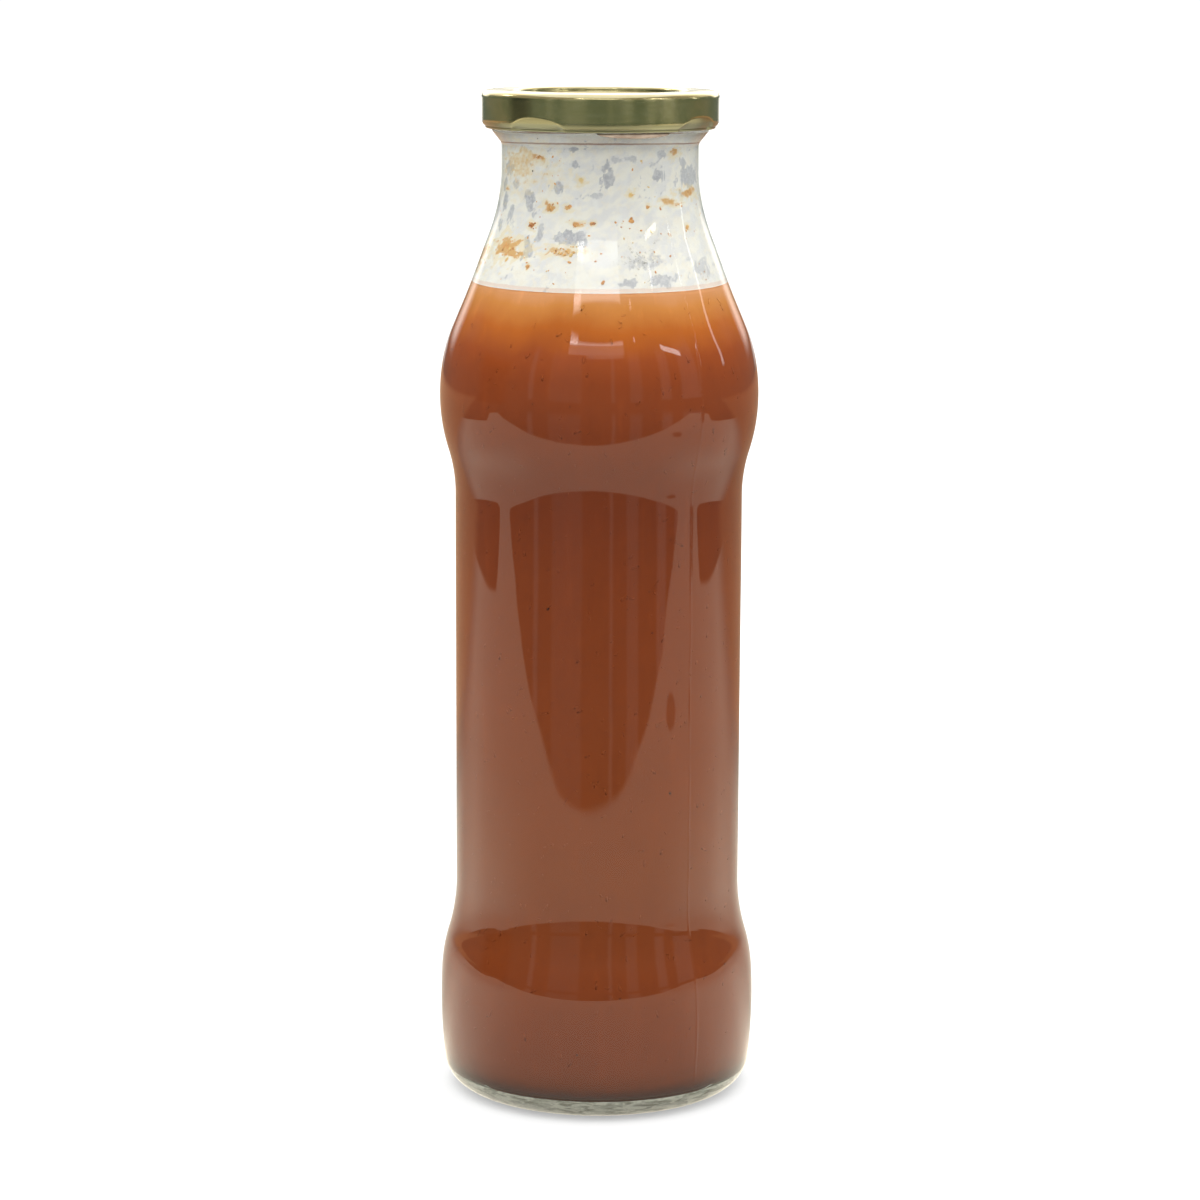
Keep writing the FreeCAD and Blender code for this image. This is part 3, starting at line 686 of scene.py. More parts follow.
def neck_looks(az, z):
    """Gaps, stain, its tone, and clouding of the dried film at each place."""
    a = np.radians(az)
    u, v = np.sin(a) * 21.0, np.cos(a) * 21.0
    w = z - 0.35 * u                       # runs lean a little
    rag = (fbm(u / 1.5, v / 1.5, w / 2.6, 11, 5, 0.62) - 0.5) * 2.6
    clear = np.zeros_like(z)
    for s in CLEAR:
        clear = np.maximum(clear, patch(az, z, s, rag) * s[4])
    # the sides and the back have their own gaps
    far = sstep(np.abs(az), 78.0, 95.0)
    gaps = sstep(fbm(u / 5.5, v / 5.5, z / 4.2, 61, 5, 0.6), 0.56, 0.68)
    clear = np.maximum(clear, far * gaps * 0.9)
    # thin places and small gaps everywhere
    thin = sstep(fbm(u / 1.6, v / 1.6, w / 2.2, 21, 5, 0.65), 0.55, 0.74)
    where = sstep(fbm(u / 8.0, v / 8.0, z / 7.0, 24, 2), 0.44, 0.62)
    clear = np.maximum(clear, thin * (0.12 + 0.50 * where))
    stain, halo, tone = np.zeros_like(z), np.zeros_like(z), np.full_like(z, 0.4)
    rag2 = (fbm(u / 1.3, v / 1.3, z / 1.0, 41, 5, 0.62) - 0.5) * 2.4
    for s in STAINS:
        k = patch(az, z, s, rag2) * s[5]
        halo = np.maximum(halo, patch(az, z, s, rag2, 1.9) * s[5])
        tone = np.where(k > stain, s[4], tone)
        stain = np.maximum(stain, k)
    streak = sstep(fbm(u / 7.0, v / 7.0, w / 1.6, 77, 4), 0.60, 0.72) * far
    halo = np.maximum(halo, streak * 0.8)
    stain = np.maximum(stain, sstep(streak, 0.5, 1.0) * 0.8)
    tone = np.where((streak > 0.3) & (far > 0.5), 0.5, tone)
    stain = stain * (0.25 + 1.1 * fbm(u / 0.9, v / 0.9, z / 0.6, 51, 4, 0.6))
    cloud = fbm(u / 2.6, v / 2.6, w / 1.8, 71, 5, 0.6)
    return clear, np.clip(stain, 0, 1), halo, tone, cloud


def build_film():
    n_az, zs = 340, np.concatenate([np.arange(FILL - 0.35, 236.5, 0.40), np.arange(236.5, 241.5, 1.0)])
    az = np.array([360.0 * i / n_az - 180.0 for i in range(n_az)])
    A, H = np.meshgrid(az, zs)
    clear, stain, halo, tone, cloud = neck_looks(A, H)
    a = np.radians(A)
    thick = 0.05 + 0.12 * cloud + 0.20 * stain
    thick = thick * (1 - 0.75 * clear)
    end = np.minimum(sstep(H, zs[0] - 0.1, zs[0] + 0.8), 1 - sstep(H, 239.5, 241.3))
    thick = 0.01 + thick * end
    wav = (fbm(np.sin(a) * 1.9, np.cos(a) * 1.9, H / 26.0, 31, 3) - 0.5) * 0.3
    on = sstep(H, 16.0, 30.0) * (1 - sstep(H, 230.0, 236.0))
    r_in = inner_r(H) + wav * on
    verts, faces = [], []
    rows = len(zs)
    for layer, r in ((0, r_in + 0.05), (1, r_in - 0.02 - thick)):
        verts.append(np.stack([r * np.sin(a), -r * np.cos(a), H], -1).reshape(-1, 3))
    verts = np.concatenate(verts)
    off = rows * n_az

    def vid(layer, i, j):
        return layer * off + i * n_az + (j % n_az)
    for i in range(rows - 1):
        for j in range(n_az):
            faces.append((vid(0, i, j), vid(0, i, j + 1), vid(0, i + 1, j + 1), vid(0, i + 1, j)))
            faces.append((vid(1, i, j), vid(1, i + 1, j), vid(1, i + 1, j + 1), vid(1, i, j + 1)))
    for j in range(n_az):
        faces.append((vid(0, 0, j + 1), vid(0, 0, j), vid(1, 0, j), vid(1, 0, j + 1)))
        faces.append((vid(0, rows - 1, j), vid(0, rows - 1, j + 1), vid(1, rows - 1, j + 1), vid(1, rows - 1, j)))
    attrs = {k: np.concatenate([x.ravel(), x.ravel()]) for k, x in
             (("clear", clear), ("stain", stain), ("halo", halo), ("tone", tone), ("cloud", cloud))}
    obj = fix_normals(make("neck_film", verts, faces, True, attrs))

    mat, net = material("dried_nectar_film")
    vec = net.coord()
    x, y, z = net.parts(vec)
    clear_, stain_, tone_ = net.attr("clear"), net.attr("stain"), net.attr("tone")
    halo_, cloud_ = net.attr("halo"), net.attr("cloud")
    fine = net.noise(vec, 1100.0, 4.0, 0.7)
    streaky = net.noise(net.stretch(vec, 1, 1, 0.35), 420.0, 4.0, 0.65, 0.6)
    curd = net.noise(vec, 520.0, 4.0, 0.65)
    cream = net.mix(net.step(cloud_ + (curd - 0.5) * 0.4, 0.34, 0.62), (0.872, 0.850, 0.825), (0.972, 0.934, 0.848))
    cream = net.mix(net.step(streaky, 0.52, 0.72) * 0.6, cream, (0.972, 0.956, 0.915))
    cream = net.mix(net.step(curd, 0.50, 0.66) * 0.55, cream, (0.940, 0.872, 0.755))
    # Painted shade: where the film has gaps it is coloured a dim bluish grey, standing for the shaded inside seen
    # through them.
    gap_shade = net.mix(net.step(fine * 0.6 + streaky * 0.4, 0.40, 0.60), (0.57, 0.57, 0.61), (0.84, 0.83, 0.835))
    cream = net.mix(net.step(fine, 0.54, 0.72) * 0.35, cream, (0.78, 0.76, 0.76))
    # dried onto the wall of the mouth, greyer
    high = net.step(z, 0.2342, 0.2348)
    cream = net.mix(high * 0.12, cream, net.mix(net.step(streaky, 0.4, 0.6), (0.62, 0.61, 0.60), (0.88, 0.86, 0.82)))
    pale = (0.93, 0.82, 0.60)
    ochre = net.mix(net.step(tone_, 0.0, 0.45), (0.88, 0.68, 0.30), (0.78, 0.47, 0.19))
    ochre = net.mix(net.step(tone_, 0.45, 1.0), ochre, (0.58, 0.22, 0.055))
    edge = net.step(clear_ + (fine - 0.5) * 1.3 + (streaky - 0.5) * 1.0, 0.30, 0.80)
    col = net.mix(edge, cream, gap_shade)
    col = net.mix(net.step(halo_ + (curd - 0.5) * 0.9, 0.2, 0.9) * 0.8, col, pale)
    col = net.mix(net.step(stain_ + (fine - 0.5) * 0.55, 0.18, 0.72), col, ochre)
    # a thin reddish-brown line at the corner under the mouth, and a pale one above the level
    line = net.band(z + (curd - 0.5) * 0.0004, 0.23360, 0.23418, 0.00012)
    col = net.mix(line * 0.95, col, (0.42, 0.26, 0.20))
    tide = net.band(z + (curd - 0.5) * 0.0006, (FILL + 0.15) * MM, (FILL + 0.95) * MM, 0.00015)
    col = net.mix(tide * 0.85, col, (0.88, 0.72, 0.62))
    p = principled(net, Base_Color=col, Roughness=0.55, Specular_IOR_Level=0.3)
    net.put(p.inputs["Normal"], net.bump(fine * 0.5 + curd, 0.35, 0.00025))
    soft = net.node("ShaderNodeBsdfTranslucent")
    net.put(soft.inputs["Color"], col)
    both = net.node("ShaderNodeMixShader")
    both.inputs[0].default_value = 0.03
    net.tree.links.new(p.outputs[0], both.inputs[1])
    net.tree.links.new(soft.outputs[0], both.inputs[2])
    cover = net.step(edge, 0.0, 1.0, 0.98, 0.80) - net.step(fine, 0.62, 0.8) * 0.06
    cover = net.math("MAXIMUM", cover, net.step(stain_, 0.1, 0.5) * 0.97)
    clear_bsdf = net.node("ShaderNodeBsdfTransparent")
    final = net.node("ShaderNodeMixShader")
    net.put(final.inputs[0], cover)
    net.tree.links.new(clear_bsdf.outputs[0], final.inputs[1])
    net.tree.links.new(both.outputs[0], final.inputs[2])
    net.surface(final.outputs[0])
    put_on(obj, mat)
    return obj


def heel_line(o):
    """Points up the outside of the heel from the foot, o inside the surface."""
    r, top = Z["heel_radius"], 5.2
    outer = [(p[0], p[1]) for p in wall_profile(0.0) if p[1] <= top + 1.5]
    rr = [p[0] for p in outer]
    zz = [p[1] for p in outer]
    pts = []
    for k in range(11):
        z = 0.12 + (top - 0.12) * (k / 10.0) ** 1.5
        here = float(np.interp(z, zz, rr))
        lean = math.acos(max(min(1 - z / r, 1.0), -1.0))
        pts.append((here - o * math.sin(lean), z + o * math.cos(lean)))
    return pts


def build_stipple():
    """Pale stippled band low in the heel, with scuffs and darker streaks."""
    outer, inner = heel_line(0.12), heel_line(0.26)
    az = [360.0 * i / 300 - 180.0 for i in range(300)]
    verts, faces = spin(outer + inner[::-1], az, None, True)
    obj = fix_normals(make("base_stipple", verts, faces))
    mat, net = material("stippled_foot")
    vec = net.coord()
    x, y, z = net.parts(vec)
    turn = net.math("ARCTAN2", x, y * -1.0) * 0.0325
    flat = net.node("ShaderNodeCombineXYZ")
    net.put(flat.inputs[0], turn)
    net.put(flat.inputs[1], z * 4.5)
    net.put(flat.inputs[2], 0.0)
    flat = Val(net, flat.outputs[0])
    streak = net.noise(flat, 210.0, 5.0, 0.65, 0.8)
    grain = net.noise(vec, 1500.0, 3.0, 0.6)
    worn = net.noise(flat, 60.0, 3.0, 0.5)
    c = net.mix(net.step(streak, 0.42, 0.56), (0.24, 0.24, 0.18), (0.59, 0.59, 0.48))
    c = net.mix(net.step(worn, 0.48, 0.66) * 0.6, c, (0.60, 0.60, 0.51))
    c = net.mix(net.step(grain, 0.52, 0.70) * 0.45, c, (0.26, 0.25, 0.19))
    p = principled(net, Base_Color=c, Roughness=0.7, Specular_IOR_Level=0.2)
    net.put(p.inputs["Normal"], net.bump(grain, 0.4, 0.0002))
    hole = net.node("ShaderNodeBsdfTransparent")
    m = net.node("ShaderNodeMixShader")
    net.put(m.inputs[0], 0.93 - net.step(streak, 0.40, 0.34) * 0.35)
    net.tree.links.new(hole.outputs[0], m.inputs[1])
    net.tree.links.new(p.outputs[0], m.inputs[2])
    net.surface(m.outputs[0])
    put_on(obj, mat)
    return obj


def mouth_r(z):
    """Outside of the glass between the neck's corner and the wall of the mouth."""
    return np.interp(z, [232.3, 232.7, 233.4, 234.2, 234.9, 235.2, 235.35, 235.5, 235.8, 236.2],
                     [23.76, 23.92, 24.45, 25.1, 25.65, 25.92, 26.0, 25.95, 25.6, 25.25])


def build_drip():
    """Dried nectar in a crescent on the outside, just under the cap's edge."""
    n, m = 60, 8
    verts, faces = [], []
    for layer in (0.07, -0.06):
        for i in range(n + 1):
            s = i / n
            az = -2.0 + 41.0 * s
            deep = 1.15 * math.sqrt(max(1 - (2 * s - 1) ** 2, 0)) * (0.85 + 0.3 * float(noise(s * 7.0, 0.3, 0.1, 3)))
            for j in range(m + 1):
                z = 235.75 - (0.05 + deep) * j / m
                fade = min(1.0, 4 * s, 4 * (1 - s), 3.0 * (1 - j / m) + 0.15)
                r = float(mouth_r(z)) + (layer * fade if layer > 0 else layer)
                a = math.radians(az)
                verts.append((r * math.sin(a), -r * math.cos(a), z))
    off = (n + 1) * (m + 1)
    for i in range(n):
        for j in range(m):
            a, b = i * (m + 1) + j, (i + 1) * (m + 1) + j
            faces.append((a, b, b + 1, a + 1))
            faces.append((off + a, off + a + 1, off + b + 1, off + b))
    ring = [j for j in range(m + 1)] + [i * (m + 1) + m for i in range(1, n + 1)] \
        + [n * (m + 1) + j for j in range(m - 1, -1, -1)] + [i * (m + 1) for i in range(n - 1, 0, -1)]
    for a, b in zip(ring, ring[1:] + ring[:1]):
        faces.append((a, b, off + b, off + a))
    obj = fix_normals(make("dried_drip", verts, faces))
    mat, net = material("dried_drip_mat")
    vec = net.coord()
    curd = net.noise(vec, 500.0, 4.0, 0.6)
    c = net.mix(net.step(curd, 0.35, 0.65), (0.28, 0.205, 0.145), (0.40, 0.31, 0.225))
    p = principled(net, Base_Color=c, Roughness=0.6, Specular_IOR_Level=0.3)
    net.put(p.inputs["Normal"], net.bump(curd, 0.4, 0.0002))
    net.surface(p.outputs[0])
    put_on(obj, mat)


def build_crumbs():
    """Bits of pulp dried on the inside of the neck."""
    items, tones = [], []
    for az, z, wa, wz, tone, amount in STAINS:
        count = int(6 + 1.4 * wa * wz)
        for k in range(min(count, 46)):
            s = 0.10 + RNG.gamma(1.8, 0.07)
            items.append(on_wall(az + RNG.normal(0, wa * 0.42), z + RNG.normal(0, wz * 0.42), 2.56,
                                 RNG.normal(0, 35), min(s * 1.5, 0.7), min(s, 0.45), 0.10) + (len(items),))
            tones.append(np.clip(tone + RNG.normal(0, 0.18), 0, 1))
    for k in range(320):
        s = 0.07 + RNG.gamma(1.6, 0.05)
        items.append(on_wall(RNG.uniform(-180, 180), RNG.uniform(FILL + 1.5, 236), 2.55,
                             RNG.uniform(0, 180), min(s * 1.6, 0.6), min(s, 0.4), 0.08) + (len(items),))
        tones.append(RNG.uniform(0.1, 0.8))
    for az, z in ((-45.5, 226.5), (-63.0, 224.6), (-40.5, 235.4)):
        items.append(on_wall(az, z, 2.52, 30, 0.30, 0.22, 0.10) + (len(items),))
        tones.append(1.6)
    verts, faces, which = blobs(items, 1)
    obj = make("neck_crumbs", verts, faces, True, {"tone": np.array(tones)[which]})
    mat, net = material("dried_pulp_bits")
    tone = net.attr("tone")
    fine = net.noise(net.coord(), 1800.0, 2.0)
    c = net.mix(net.step(tone + (fine - 0.5) * 0.3, 0.0, 0.5), (0.86, 0.68, 0.30), (0.78, 0.40, 0.14))
    c = net.mix(net.step(tone, 0.5, 1.0), c, (0.42, 0.15, 0.045))
    c = net.mix(net.step(tone, 1.2, 1.5), c, (0.05, 0.025, 0.015))
    p = principled(net, Base_Color=c, Roughness=0.5, Specular_IOR_Level=0.3)
    net.surface(p.outputs[0])
    put_on(obj, mat)


def build_drops():
    """Beads of moisture low on the inside of the neck."""
    items = []
    spots = [(18.0, 206.3, 10.0, 2.4, 46), (59.2, 202.2, 6.5, 2.0, 26), (-65.0, 203.5, 12.0, 2.0, 18),
             (150.0, 205.0, 40.0, 4.0, 60), (-130.0, 212.0, 30.0, 6.0, 40), (30.0, 211.0, 14.0, 3.0, 14)]
    for az, z, wa, wz, n in spots:
        for k in range(n):
            s = 0.12 + RNG.gamma(1.6, 0.09)
            s = min(s, 0.55)
            zz = max(z + RNG.normal(0, wz * 0.5), FILL + 1.2)
            items.append(on_wall(az + RNG.normal(0, wa * 0.5), zz, 2.62,
                                 RNG.uniform(0, 180), s, s * RNG.uniform(0.7, 1.0), s * 0.45) + (len(items),))
    verts, faces, which = blobs(items, 1)
    obj = make("moisture_beads", verts, faces)
    mat, net = material("moisture")
    tint = net.noise(net.coord(), 300.0, 2.0)
    c = net.mix(tint, (1.0, 1.0, 1.0), (0.97, 0.96, 0.93))
    p = principled(net, Base_Color=c, Roughness=0.0, IOR=1.33, Transmission_Weight=1.0)
    net.surface(p.outputs[0])
    put_on(obj, mat)
    obj.visible_shadow = False


# ---------------------------------------------------------------------------
# Cap
# ---------------------------------------------------------------------------
LUGS = [(-33.0 + 90.0 * k) for k in range(4)]


def build_cap():
    t, sheet = TOP, 0.5
    corner, panel_r, panel_c, panel_e = 1.5, 20.3, 0.9, 0.8
    panel = t - panel_c - panel_e
    low = CAP_LOW
    top_side = [(0.0, panel + 0.45), (3.0, panel + 0.45), (6.0, panel + 0.45), (8.2, panel + 0.44)]
    for k in range(1, 9):
        s = k / 9.0
        top_side.append((8.6 + 3.0 * s, panel + 0.45 * (1 - s * s * (3 - 2 * s))))
    top_side += run((12.0, panel), (panel_r - panel_c, panel), 7)
    top_side += arc(panel_r - panel_c, panel + panel_c, panel_c, -math.pi / 2, 0.0, 7)
    top_side += arc(panel_r + panel_e, panel + panel_c, panel_e, math.pi, math.pi / 2, 7)
    # the raised ring is very slightly crowned
    ring_w = (CAP_R - corner) - (panel_r + panel_e)
    for k in range(9):
        s = k / 9.0
        top_side.append((panel_r + panel_e + ring_w * s, t - 0.10 * (2 * s - 1) ** 2))
    top_side += arc(CAP_R - corner, t - 0.10 - corner, corner, math.pi / 2, 0.0, 9)
    side_top = t - 0.10 - corner
    skirt = run((CAP_R, side_top), (CAP_R, low + 2.3), 26)
    # the sheet turns in to its rolled edge
    roll = [(CAP_R - 1.2 + 1.2 * math.cos(a), low + 2.3 + 1.75 * math.sin(a))
            for a in np.radians(np.linspace(0, -62, 10))]
    roll += [(CAP_R - 0.62 - 0.62 + 0.55 * math.cos(a) - 0.12, low + 0.52 + 0.52 * math.sin(a))
             for a in np.radians(np.linspace(20, -200, 14))]
    inner = [(CAP_R - 1.80, low + 1.05), (CAP_R - 1.55, low + 1.5), (CAP_R - 1.0, low + 2.1)]
    inner += run((CAP_R - sheet, low + 2.6), (CAP_R - sheet, t - corner - 0.1), 12)
    inner += arc(CAP_R - corner, t - corner - 0.1, corner - sheet, 0.0, math.pi / 2, 6)
    inner += [(panel_r + panel_e + 2.0, t - 0.1 - sheet), (panel_r + panel_e, t - 0.1 - sheet),
              (panel_r + sheet, t - 0.9 - sheet * 0.4), (panel_r + sheet, panel + panel_c - 0.2)]
    inner += arc(panel_r - panel_c, panel + panel_c, panel_c + sheet, 0.0, -math.pi / 2, 6)
    inner += [(12.0, panel - sheet), (9.0, panel + 0.44 - sheet), (5.0, panel + 0.45 - sheet),
              (0.0, panel + 0.45 - sheet)]
    profile = top_side + skirt + roll + inner
    n_top, n_skirt, n_roll = len(top_side), len(skirt), len(roll)

    def shape(r, z, az, row):
        a = np.radians(az)
        r0 = r.copy()
        # slight unevenness of pressed sheet
        r = r + 0.05 * (noise(np.sin(a) * 3.2, np.cos(a) * 3.2, z / 5.0, 12) - 0.5) * (r > 20)
        if row >= n_top:
            for c in LUGS:
                d = np.abs(wrap(az - c)) / 15.0
                arch = 3.7 * np.sqrt(np.clip(1 - d ** 2.4, 0, 1))
                h = z - low
                inside = np.clip((arch - h) / np.maximum(arch, 1e-3), 0, 1) * (arch > 0.2)
                if row < n_top + n_skirt + n_roll:
                    push = 0.85 * sstep(inside, 0.0, 0.85)
                else:
                    push = 2.3 * sstep(inside, 0.0, 0.5) * sstep(1 - d, 0.0, 0.25)
                    push = np.where(r0 > 25.0, push, 0)
                r = r - push
        z = z + 0.03 * (noise(np.sin(a) * 2.5 + 7, np.cos(a) * 2.5, r0 / 9.0, 13) - 0.5)
        z = np.minimum(z, TOP)
        return np.minimum(r, CAP_R), z
    az = [360.0 * i / 300 - 180.0 for i in range(300)]
    verts, faces = spin(profile, az, shape)
    obj = fix_normals(make("cap_shell", verts, faces))
    dent = obj.data.attributes.new("dent", "FLOAT", "POINT")
    for k, v in enumerate(obj.data.vertices):
        turn = math.degrees(math.atan2(v.co.x, -v.co.y))
        d = min(abs((turn - c + 180.0) % 360.0 - 180.0) for c in LUGS) / 15.0
        arch = 3.7 * math.sqrt(max(1.0 - d ** 2.4, 0.0))
        dent.data[k].value = min(max((arch - (v.co.z / MM - low)) / 0.5, 0.0), 1.0)
    mat, net = material("gold_lacquer_cap")
    vec = net.coord()
    x, y, z = net.parts(vec)
    rolled = net.noise(net.stretch(vec, 1.0, 12.0, 12.0), 90.0, 3.0, 0.5)
    cloud = net.noise(vec, 140.0, 4.0, 0.6)
    orange_peel = net.noise(vec, 1500.0, 2.0, 0.5)
    scuff = net.step(net.noise(net.stretch(vec, 1, 1, 5), 380.0, 4.0, 0.7), 0.66, 0.78)
    c = net.mix(net.step(cloud, 0.3, 0.7), (0.76, 0.66, 0.30), (0.84, 0.72, 0.36))
    c = net.mix(net.step(rolled, 0.4, 0.7) * 0.3, c, (0.90, 0.80, 0.46))
    # Painted shade: the skirt's rolled lower edge is coloured dark olive; the same mask also makes it rougher.
    low_edge = net.step(z, (CAP_LOW + 2.6) * MM, (CAP_LOW + 1.4) * MM)
    # Painted shade: the lug dents, where the sheet is pressed in, are coloured dark.
    c = net.mix(net.attr("dent") * 0.9, c, (0.235, 0.225, 0.110))
    c = net.mix(low_edge * 0.9, c, (0.180, 0.190, 0.110))
    p = principled(net, Base_Color=c, Metallic=1.0, Coat_Weight=0.6, Coat_Roughness=0.06, Coat_IOR=1.5)
    rough = net.step(cloud, 0.3, 0.7, 0.16, 0.22) + scuff * 0.12 + low_edge * 0.12
    net.put(p.inputs["Roughness"], rough)
    net.put(p.inputs["Normal"], net.bump(orange_peel * 0.4 + rolled * 0.3, 0.12, 0.0001))
    net.surface(p.outputs[0])
    put_on(obj, mat, "lid")
    return obj


# ---------------------------------------------------------------------------
# Room: white for all light that falls on things, and for what is reflected a
# bright table in a dark room with a few lamps
# ---------------------------------------------------------------------------
DARK = (0.120, 0.150, 0.130)
WARM = (0.66, 0.43, 0.26)              # what lies behind the table
TABLE = (1.20, 1.10, 0.90)
LIGHT = 1.94                           # light that falls on things, from all round
# azimuth from, to, elevation from, to, softness, strength
LAMPS = [(-10.0, 19.0, 26.0, 28.6, 0.8, 0.7), (-25.0, 20.0, 28.6, 36.0, 0.8, 1.1),
         (-25.0, 20.0, 36.0, 37.6, 0.5, 3.2), (-25.0, -18.0, 36.0, 38.8, 0.6, 4.5),
         (29.4, 31.2, 36.4, 37.8, 0.4, 3.2), (104.0, 106.0, 8.0, 24.0, 0.8, 3.6),
         (150.0, 178.0, 30.0, 38.0, 1.5, 5.0), (-128.0, -114.0, 30.0, 36.0, 1.5, 5.0)]
STRIPS = [(-52.0, -48.0, 0.30), (-36.0, -13.0, 0.16), (8.5, 11.0, 0.30), (22.0, 31.0, 0.22),
          (46.0, 54.0, 0.30), (62.0, 76.0, 0.30)]


def room(net, az, el, striped=1.0):
    """What a reflection sees above the table's level, by direction in degrees."""
    side = net.math("ABSOLUTE", az)
    grey = net.step(el, 8.0, 30.0, 1.0, 2.0)
    glow = 0.0
    for a0, a1, power in STRIPS:
        glow = net.band(az, a0, a1, 1.2) * net.step(el, 24.0, 34.0, power, 0.0) * striped + glow
    for a0, a1, e0, e1, soft, power in LAMPS:
        glow = net.band(az, a0, a1, soft) * net.band(el, e0, e1, soft) * power + glow
    slant = el - (33.0 - (az - 48.0) * 0.53)
    glow = net.band(az, 52.5, 66.0, 0.8) * net.band(slant, -2.2, 1.8, 0.5) * 6.5 + glow
    grey = grey * (1.0 - net.band(az, -96.0, -70.0, 5.0) * net.band(el, -3.0, 16.0, 3.0) * 0.75)
    flank = net.step(side, 108.0, 132.0) * net.step(el, 10.0, 24.0)
    base = net.mix(net.step(el, 10.0, 30.0), DARK, (0.15, 0.14, 0.12))
    base = net.mix(flank, base, (0.42, 0.40, 0.37))
    vec = net.node("ShaderNodeVectorMath", operation="SCALE")
    net.put(vec.inputs[0], base)
    net.put(vec.inputs["Scale"], grey)
    add = net.node("ShaderNodeVectorMath", operation="ADD")
    net.put(add.inputs[0], vec.outputs[0])
    net.put(add.inputs[1], glow)
    behind = net.step(side, 138.0, 150.0) * net.step(el, 0.0, 7.0)
    seen = net.mix(behind, Val(net, add.outputs[0]), (1.9, 1.85, 1.75))
    return net.mix(net.step(el, 45.0, 60.0), seen, (1.05, 1.08, 1.30))


def mirrored(net, path):
    """1 for what is seen in a reflection, 0 for all else."""
    through = Val(net, path.outputs["Is Transmission Ray"])
    return Val(net, path.outputs["Is Glossy Ray"]) * (1.0 - through)


def build_world():
    w = bpy.data.worlds.new("soft_room")
    bpy.context.scene.world = w
    w.use_nodes = True
    net = Net(w.node_tree)
    x, y, z = net.parts(net.coord("Generated"))
    az = net.math("ARCTAN2", x, y * -1.0) * (180 / math.pi)
    el = net.math("ARCSINE", z) * (180 / math.pi)
    seen = room(net, az, el)
    path = net.node("ShaderNodeLightPath")
    # the room gives things more light than the backdrop shows of itself
    strong = net.step(net.math("ABSOLUTE", az), 35.0, 110.0, LIGHT, LIGHT * 1.68)
    lit = net.step(Val(net, path.outputs["Diffuse Depth"]), 0.2, 0.8, 1.06, strong)
    c = net.mix(mirrored(net, path), lit, seen)
    bg = net.node("ShaderNodeBackground")
    net.put(bg.inputs["Color"], c)
    out = net.node("ShaderNodeOutputWorld")
    net.tree.links.new(bg.outputs[0], out.inputs[0])
    w.cycles.sampling_method = "NONE"


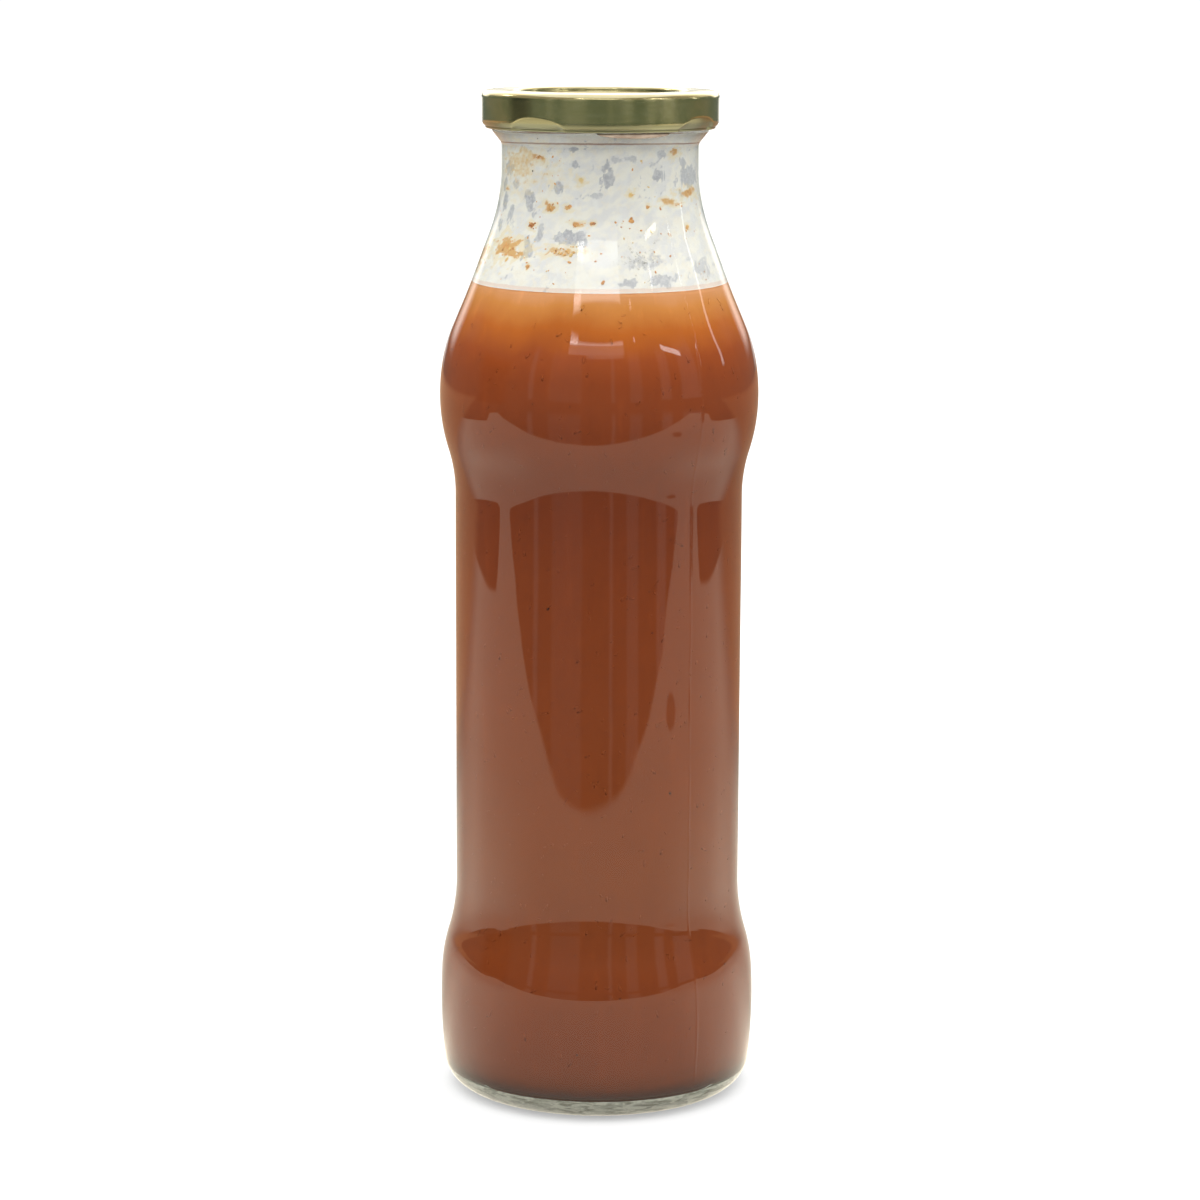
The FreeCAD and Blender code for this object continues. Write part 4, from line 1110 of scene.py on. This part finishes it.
def build_floor():
    s = 7000.0
    floor = make("floor", [(-s, -s, 0), (s, -s, 0), (s, s, 0), (-s, s, 0)], [(0, 1, 2, 3)], False)
    floor.location.z = -0.00002
    mat, net = material("pale_table")
    x, y, z = net.parts(net.coord())
    az = net.math("ARCTAN2", x, y * -1.0) * (180 / math.pi)
    front = net.step(y + x * 0.09, -0.362, -0.342)
    wide = net.step(y, -0.02, -0.14, 0.0, 0.30)
    right = net.step(x - wide, 0.79, 0.77)
    left = net.step(x + wide, -0.77, -0.75)
    # a small dark thing lies on the table
    near_x, near_y = (x - 0.425) * (1 / 0.035), (y + 0.265) * (1 / 0.035)
    thing = net.step(near_x * near_x + near_y * near_y, 1.3, 0.7)
    table = front * right * left * (1.0 - thing * 0.8) * net.step(y, 0.45, 0.22)
    far = net.math("SQRT", x * x + y * y)
    away = room(net, az, -4.0, net.step(far, 1.6, 0.9))
    shade = net.band(az, -96.0, -71.0, 5.0) * net.step(far, 1.6, 2.4) * -0.75 + 1.0
    dim = net.node("ShaderNodeVectorMath", operation="SCALE")
    net.put(dim.inputs[0], away)
    net.put(dim.inputs["Scale"], shade)
    warm = net.mix(net.step(az, 60.0, 120.0), WARM, (0.50, 0.32, 0.20))
    away = net.mix(net.step(y, 0.28, 0.42) * net.step(far, 3.0, 1.9), Val(net, dim.outputs[0]), warm)
    side = net.math("ABSOLUTE", az)
    away = net.mix(net.step(side, 157.0, 166.0) * net.step(far, 2.1, 2.9), away, (0.95, 0.95, 0.92))
    # it is brightest close by on both sides
    near = net.step(side, 40.0, 85.0) * net.step(far, 0.45, 0.18) * 0.45 + 1.0
    near = near * net.step(side, 108.0, 135.0, 1.0, 0.55)
    shine = net.node("ShaderNodeVectorMath", operation="SCALE")
    net.put(shine.inputs[0], TABLE)
    net.put(shine.inputs["Scale"], near)
    seen = net.mix(table, away, Val(net, shine.outputs[0]))
    e1 = net.node("ShaderNodeEmission")
    net.put(e1.inputs["Color"], seen)
    d = net.node("ShaderNodeBsdfDiffuse")
    d.inputs["Color"].default_value = (0.36, 0.36, 0.36, 1)
    e2 = net.node("ShaderNodeEmission")
    e2.inputs["Color"].default_value = (0.37, 0.37, 0.37, 1)
    add = net.node("ShaderNodeAddShader")
    net.tree.links.new(d.outputs[0], add.inputs[0])
    net.tree.links.new(e2.outputs[0], add.inputs[1])
    path = net.node("ShaderNodeLightPath")
    m = net.node("ShaderNodeMixShader")
    net.put(m.inputs[0], mirrored(net, path))
    net.tree.links.new(add.outputs[0], m.inputs[1])
    net.tree.links.new(e1.outputs[0], m.inputs[2])
    net.surface(m.outputs[0])
    mat.cycles.emission_sampling = "NONE"
    floor.data.materials.append(mat)


def build_lights():
    data = bpy.data.lights.new("soft_box", "AREA")
    data.shape = "RECTANGLE"
    data.size, data.size_y = 1.8, 1.4
    data.energy = 13.0
    lamp = bpy.data.objects.new("soft_box", data)
    lamp.location = (0.1, -0.25, 1.7)
    lamp.rotation_euler = (math.radians(-8), 0, 0)
    bpy.context.scene.collection.objects.link(lamp)
    lamp.visible_glossy = False
    lamp.visible_camera = False


def build_camera():
    cam = bpy.data.cameras.new("camera")
    cam.sensor_width = 36.0
    cam.lens = 108.463
    cam.clip_start, cam.clip_end = 0.05, 50.0
    obj = bpy.data.objects.new("camera", cam)
    bpy.context.scene.collection.objects.link(obj)
    obj.matrix_world = (Matrix.Translation((0.000406, -0.871342, 0.276841))
                        @ Matrix.Rotation(math.pi / 2 - 0.1768002, 4, "X")
                        @ Matrix.Rotation(0.0044572, 4, "Z"))
    bpy.context.scene.camera = obj


glass = build_glass()
glass.visible_shadow = False
build_nectar()
build_pulp()
build_film()
build_drip()
build_stipple()
build_crumbs()
build_drops()
build_cap()
build_world()
build_floor()
build_lights()
build_camera()

scene = bpy.context.scene
scene.view_settings.view_transform = "Standard"
scene.view_settings.look = "None"
scene.cycles.max_bounces = 24
scene.cycles.diffuse_bounces = 8
scene.cycles.glossy_bounces = 8
scene.cycles.transmission_bounces = 24
scene.cycles.transparent_max_bounces = 16
scene.cycles.caustics_refractive = True
scene.cycles.caustics_reflective = False
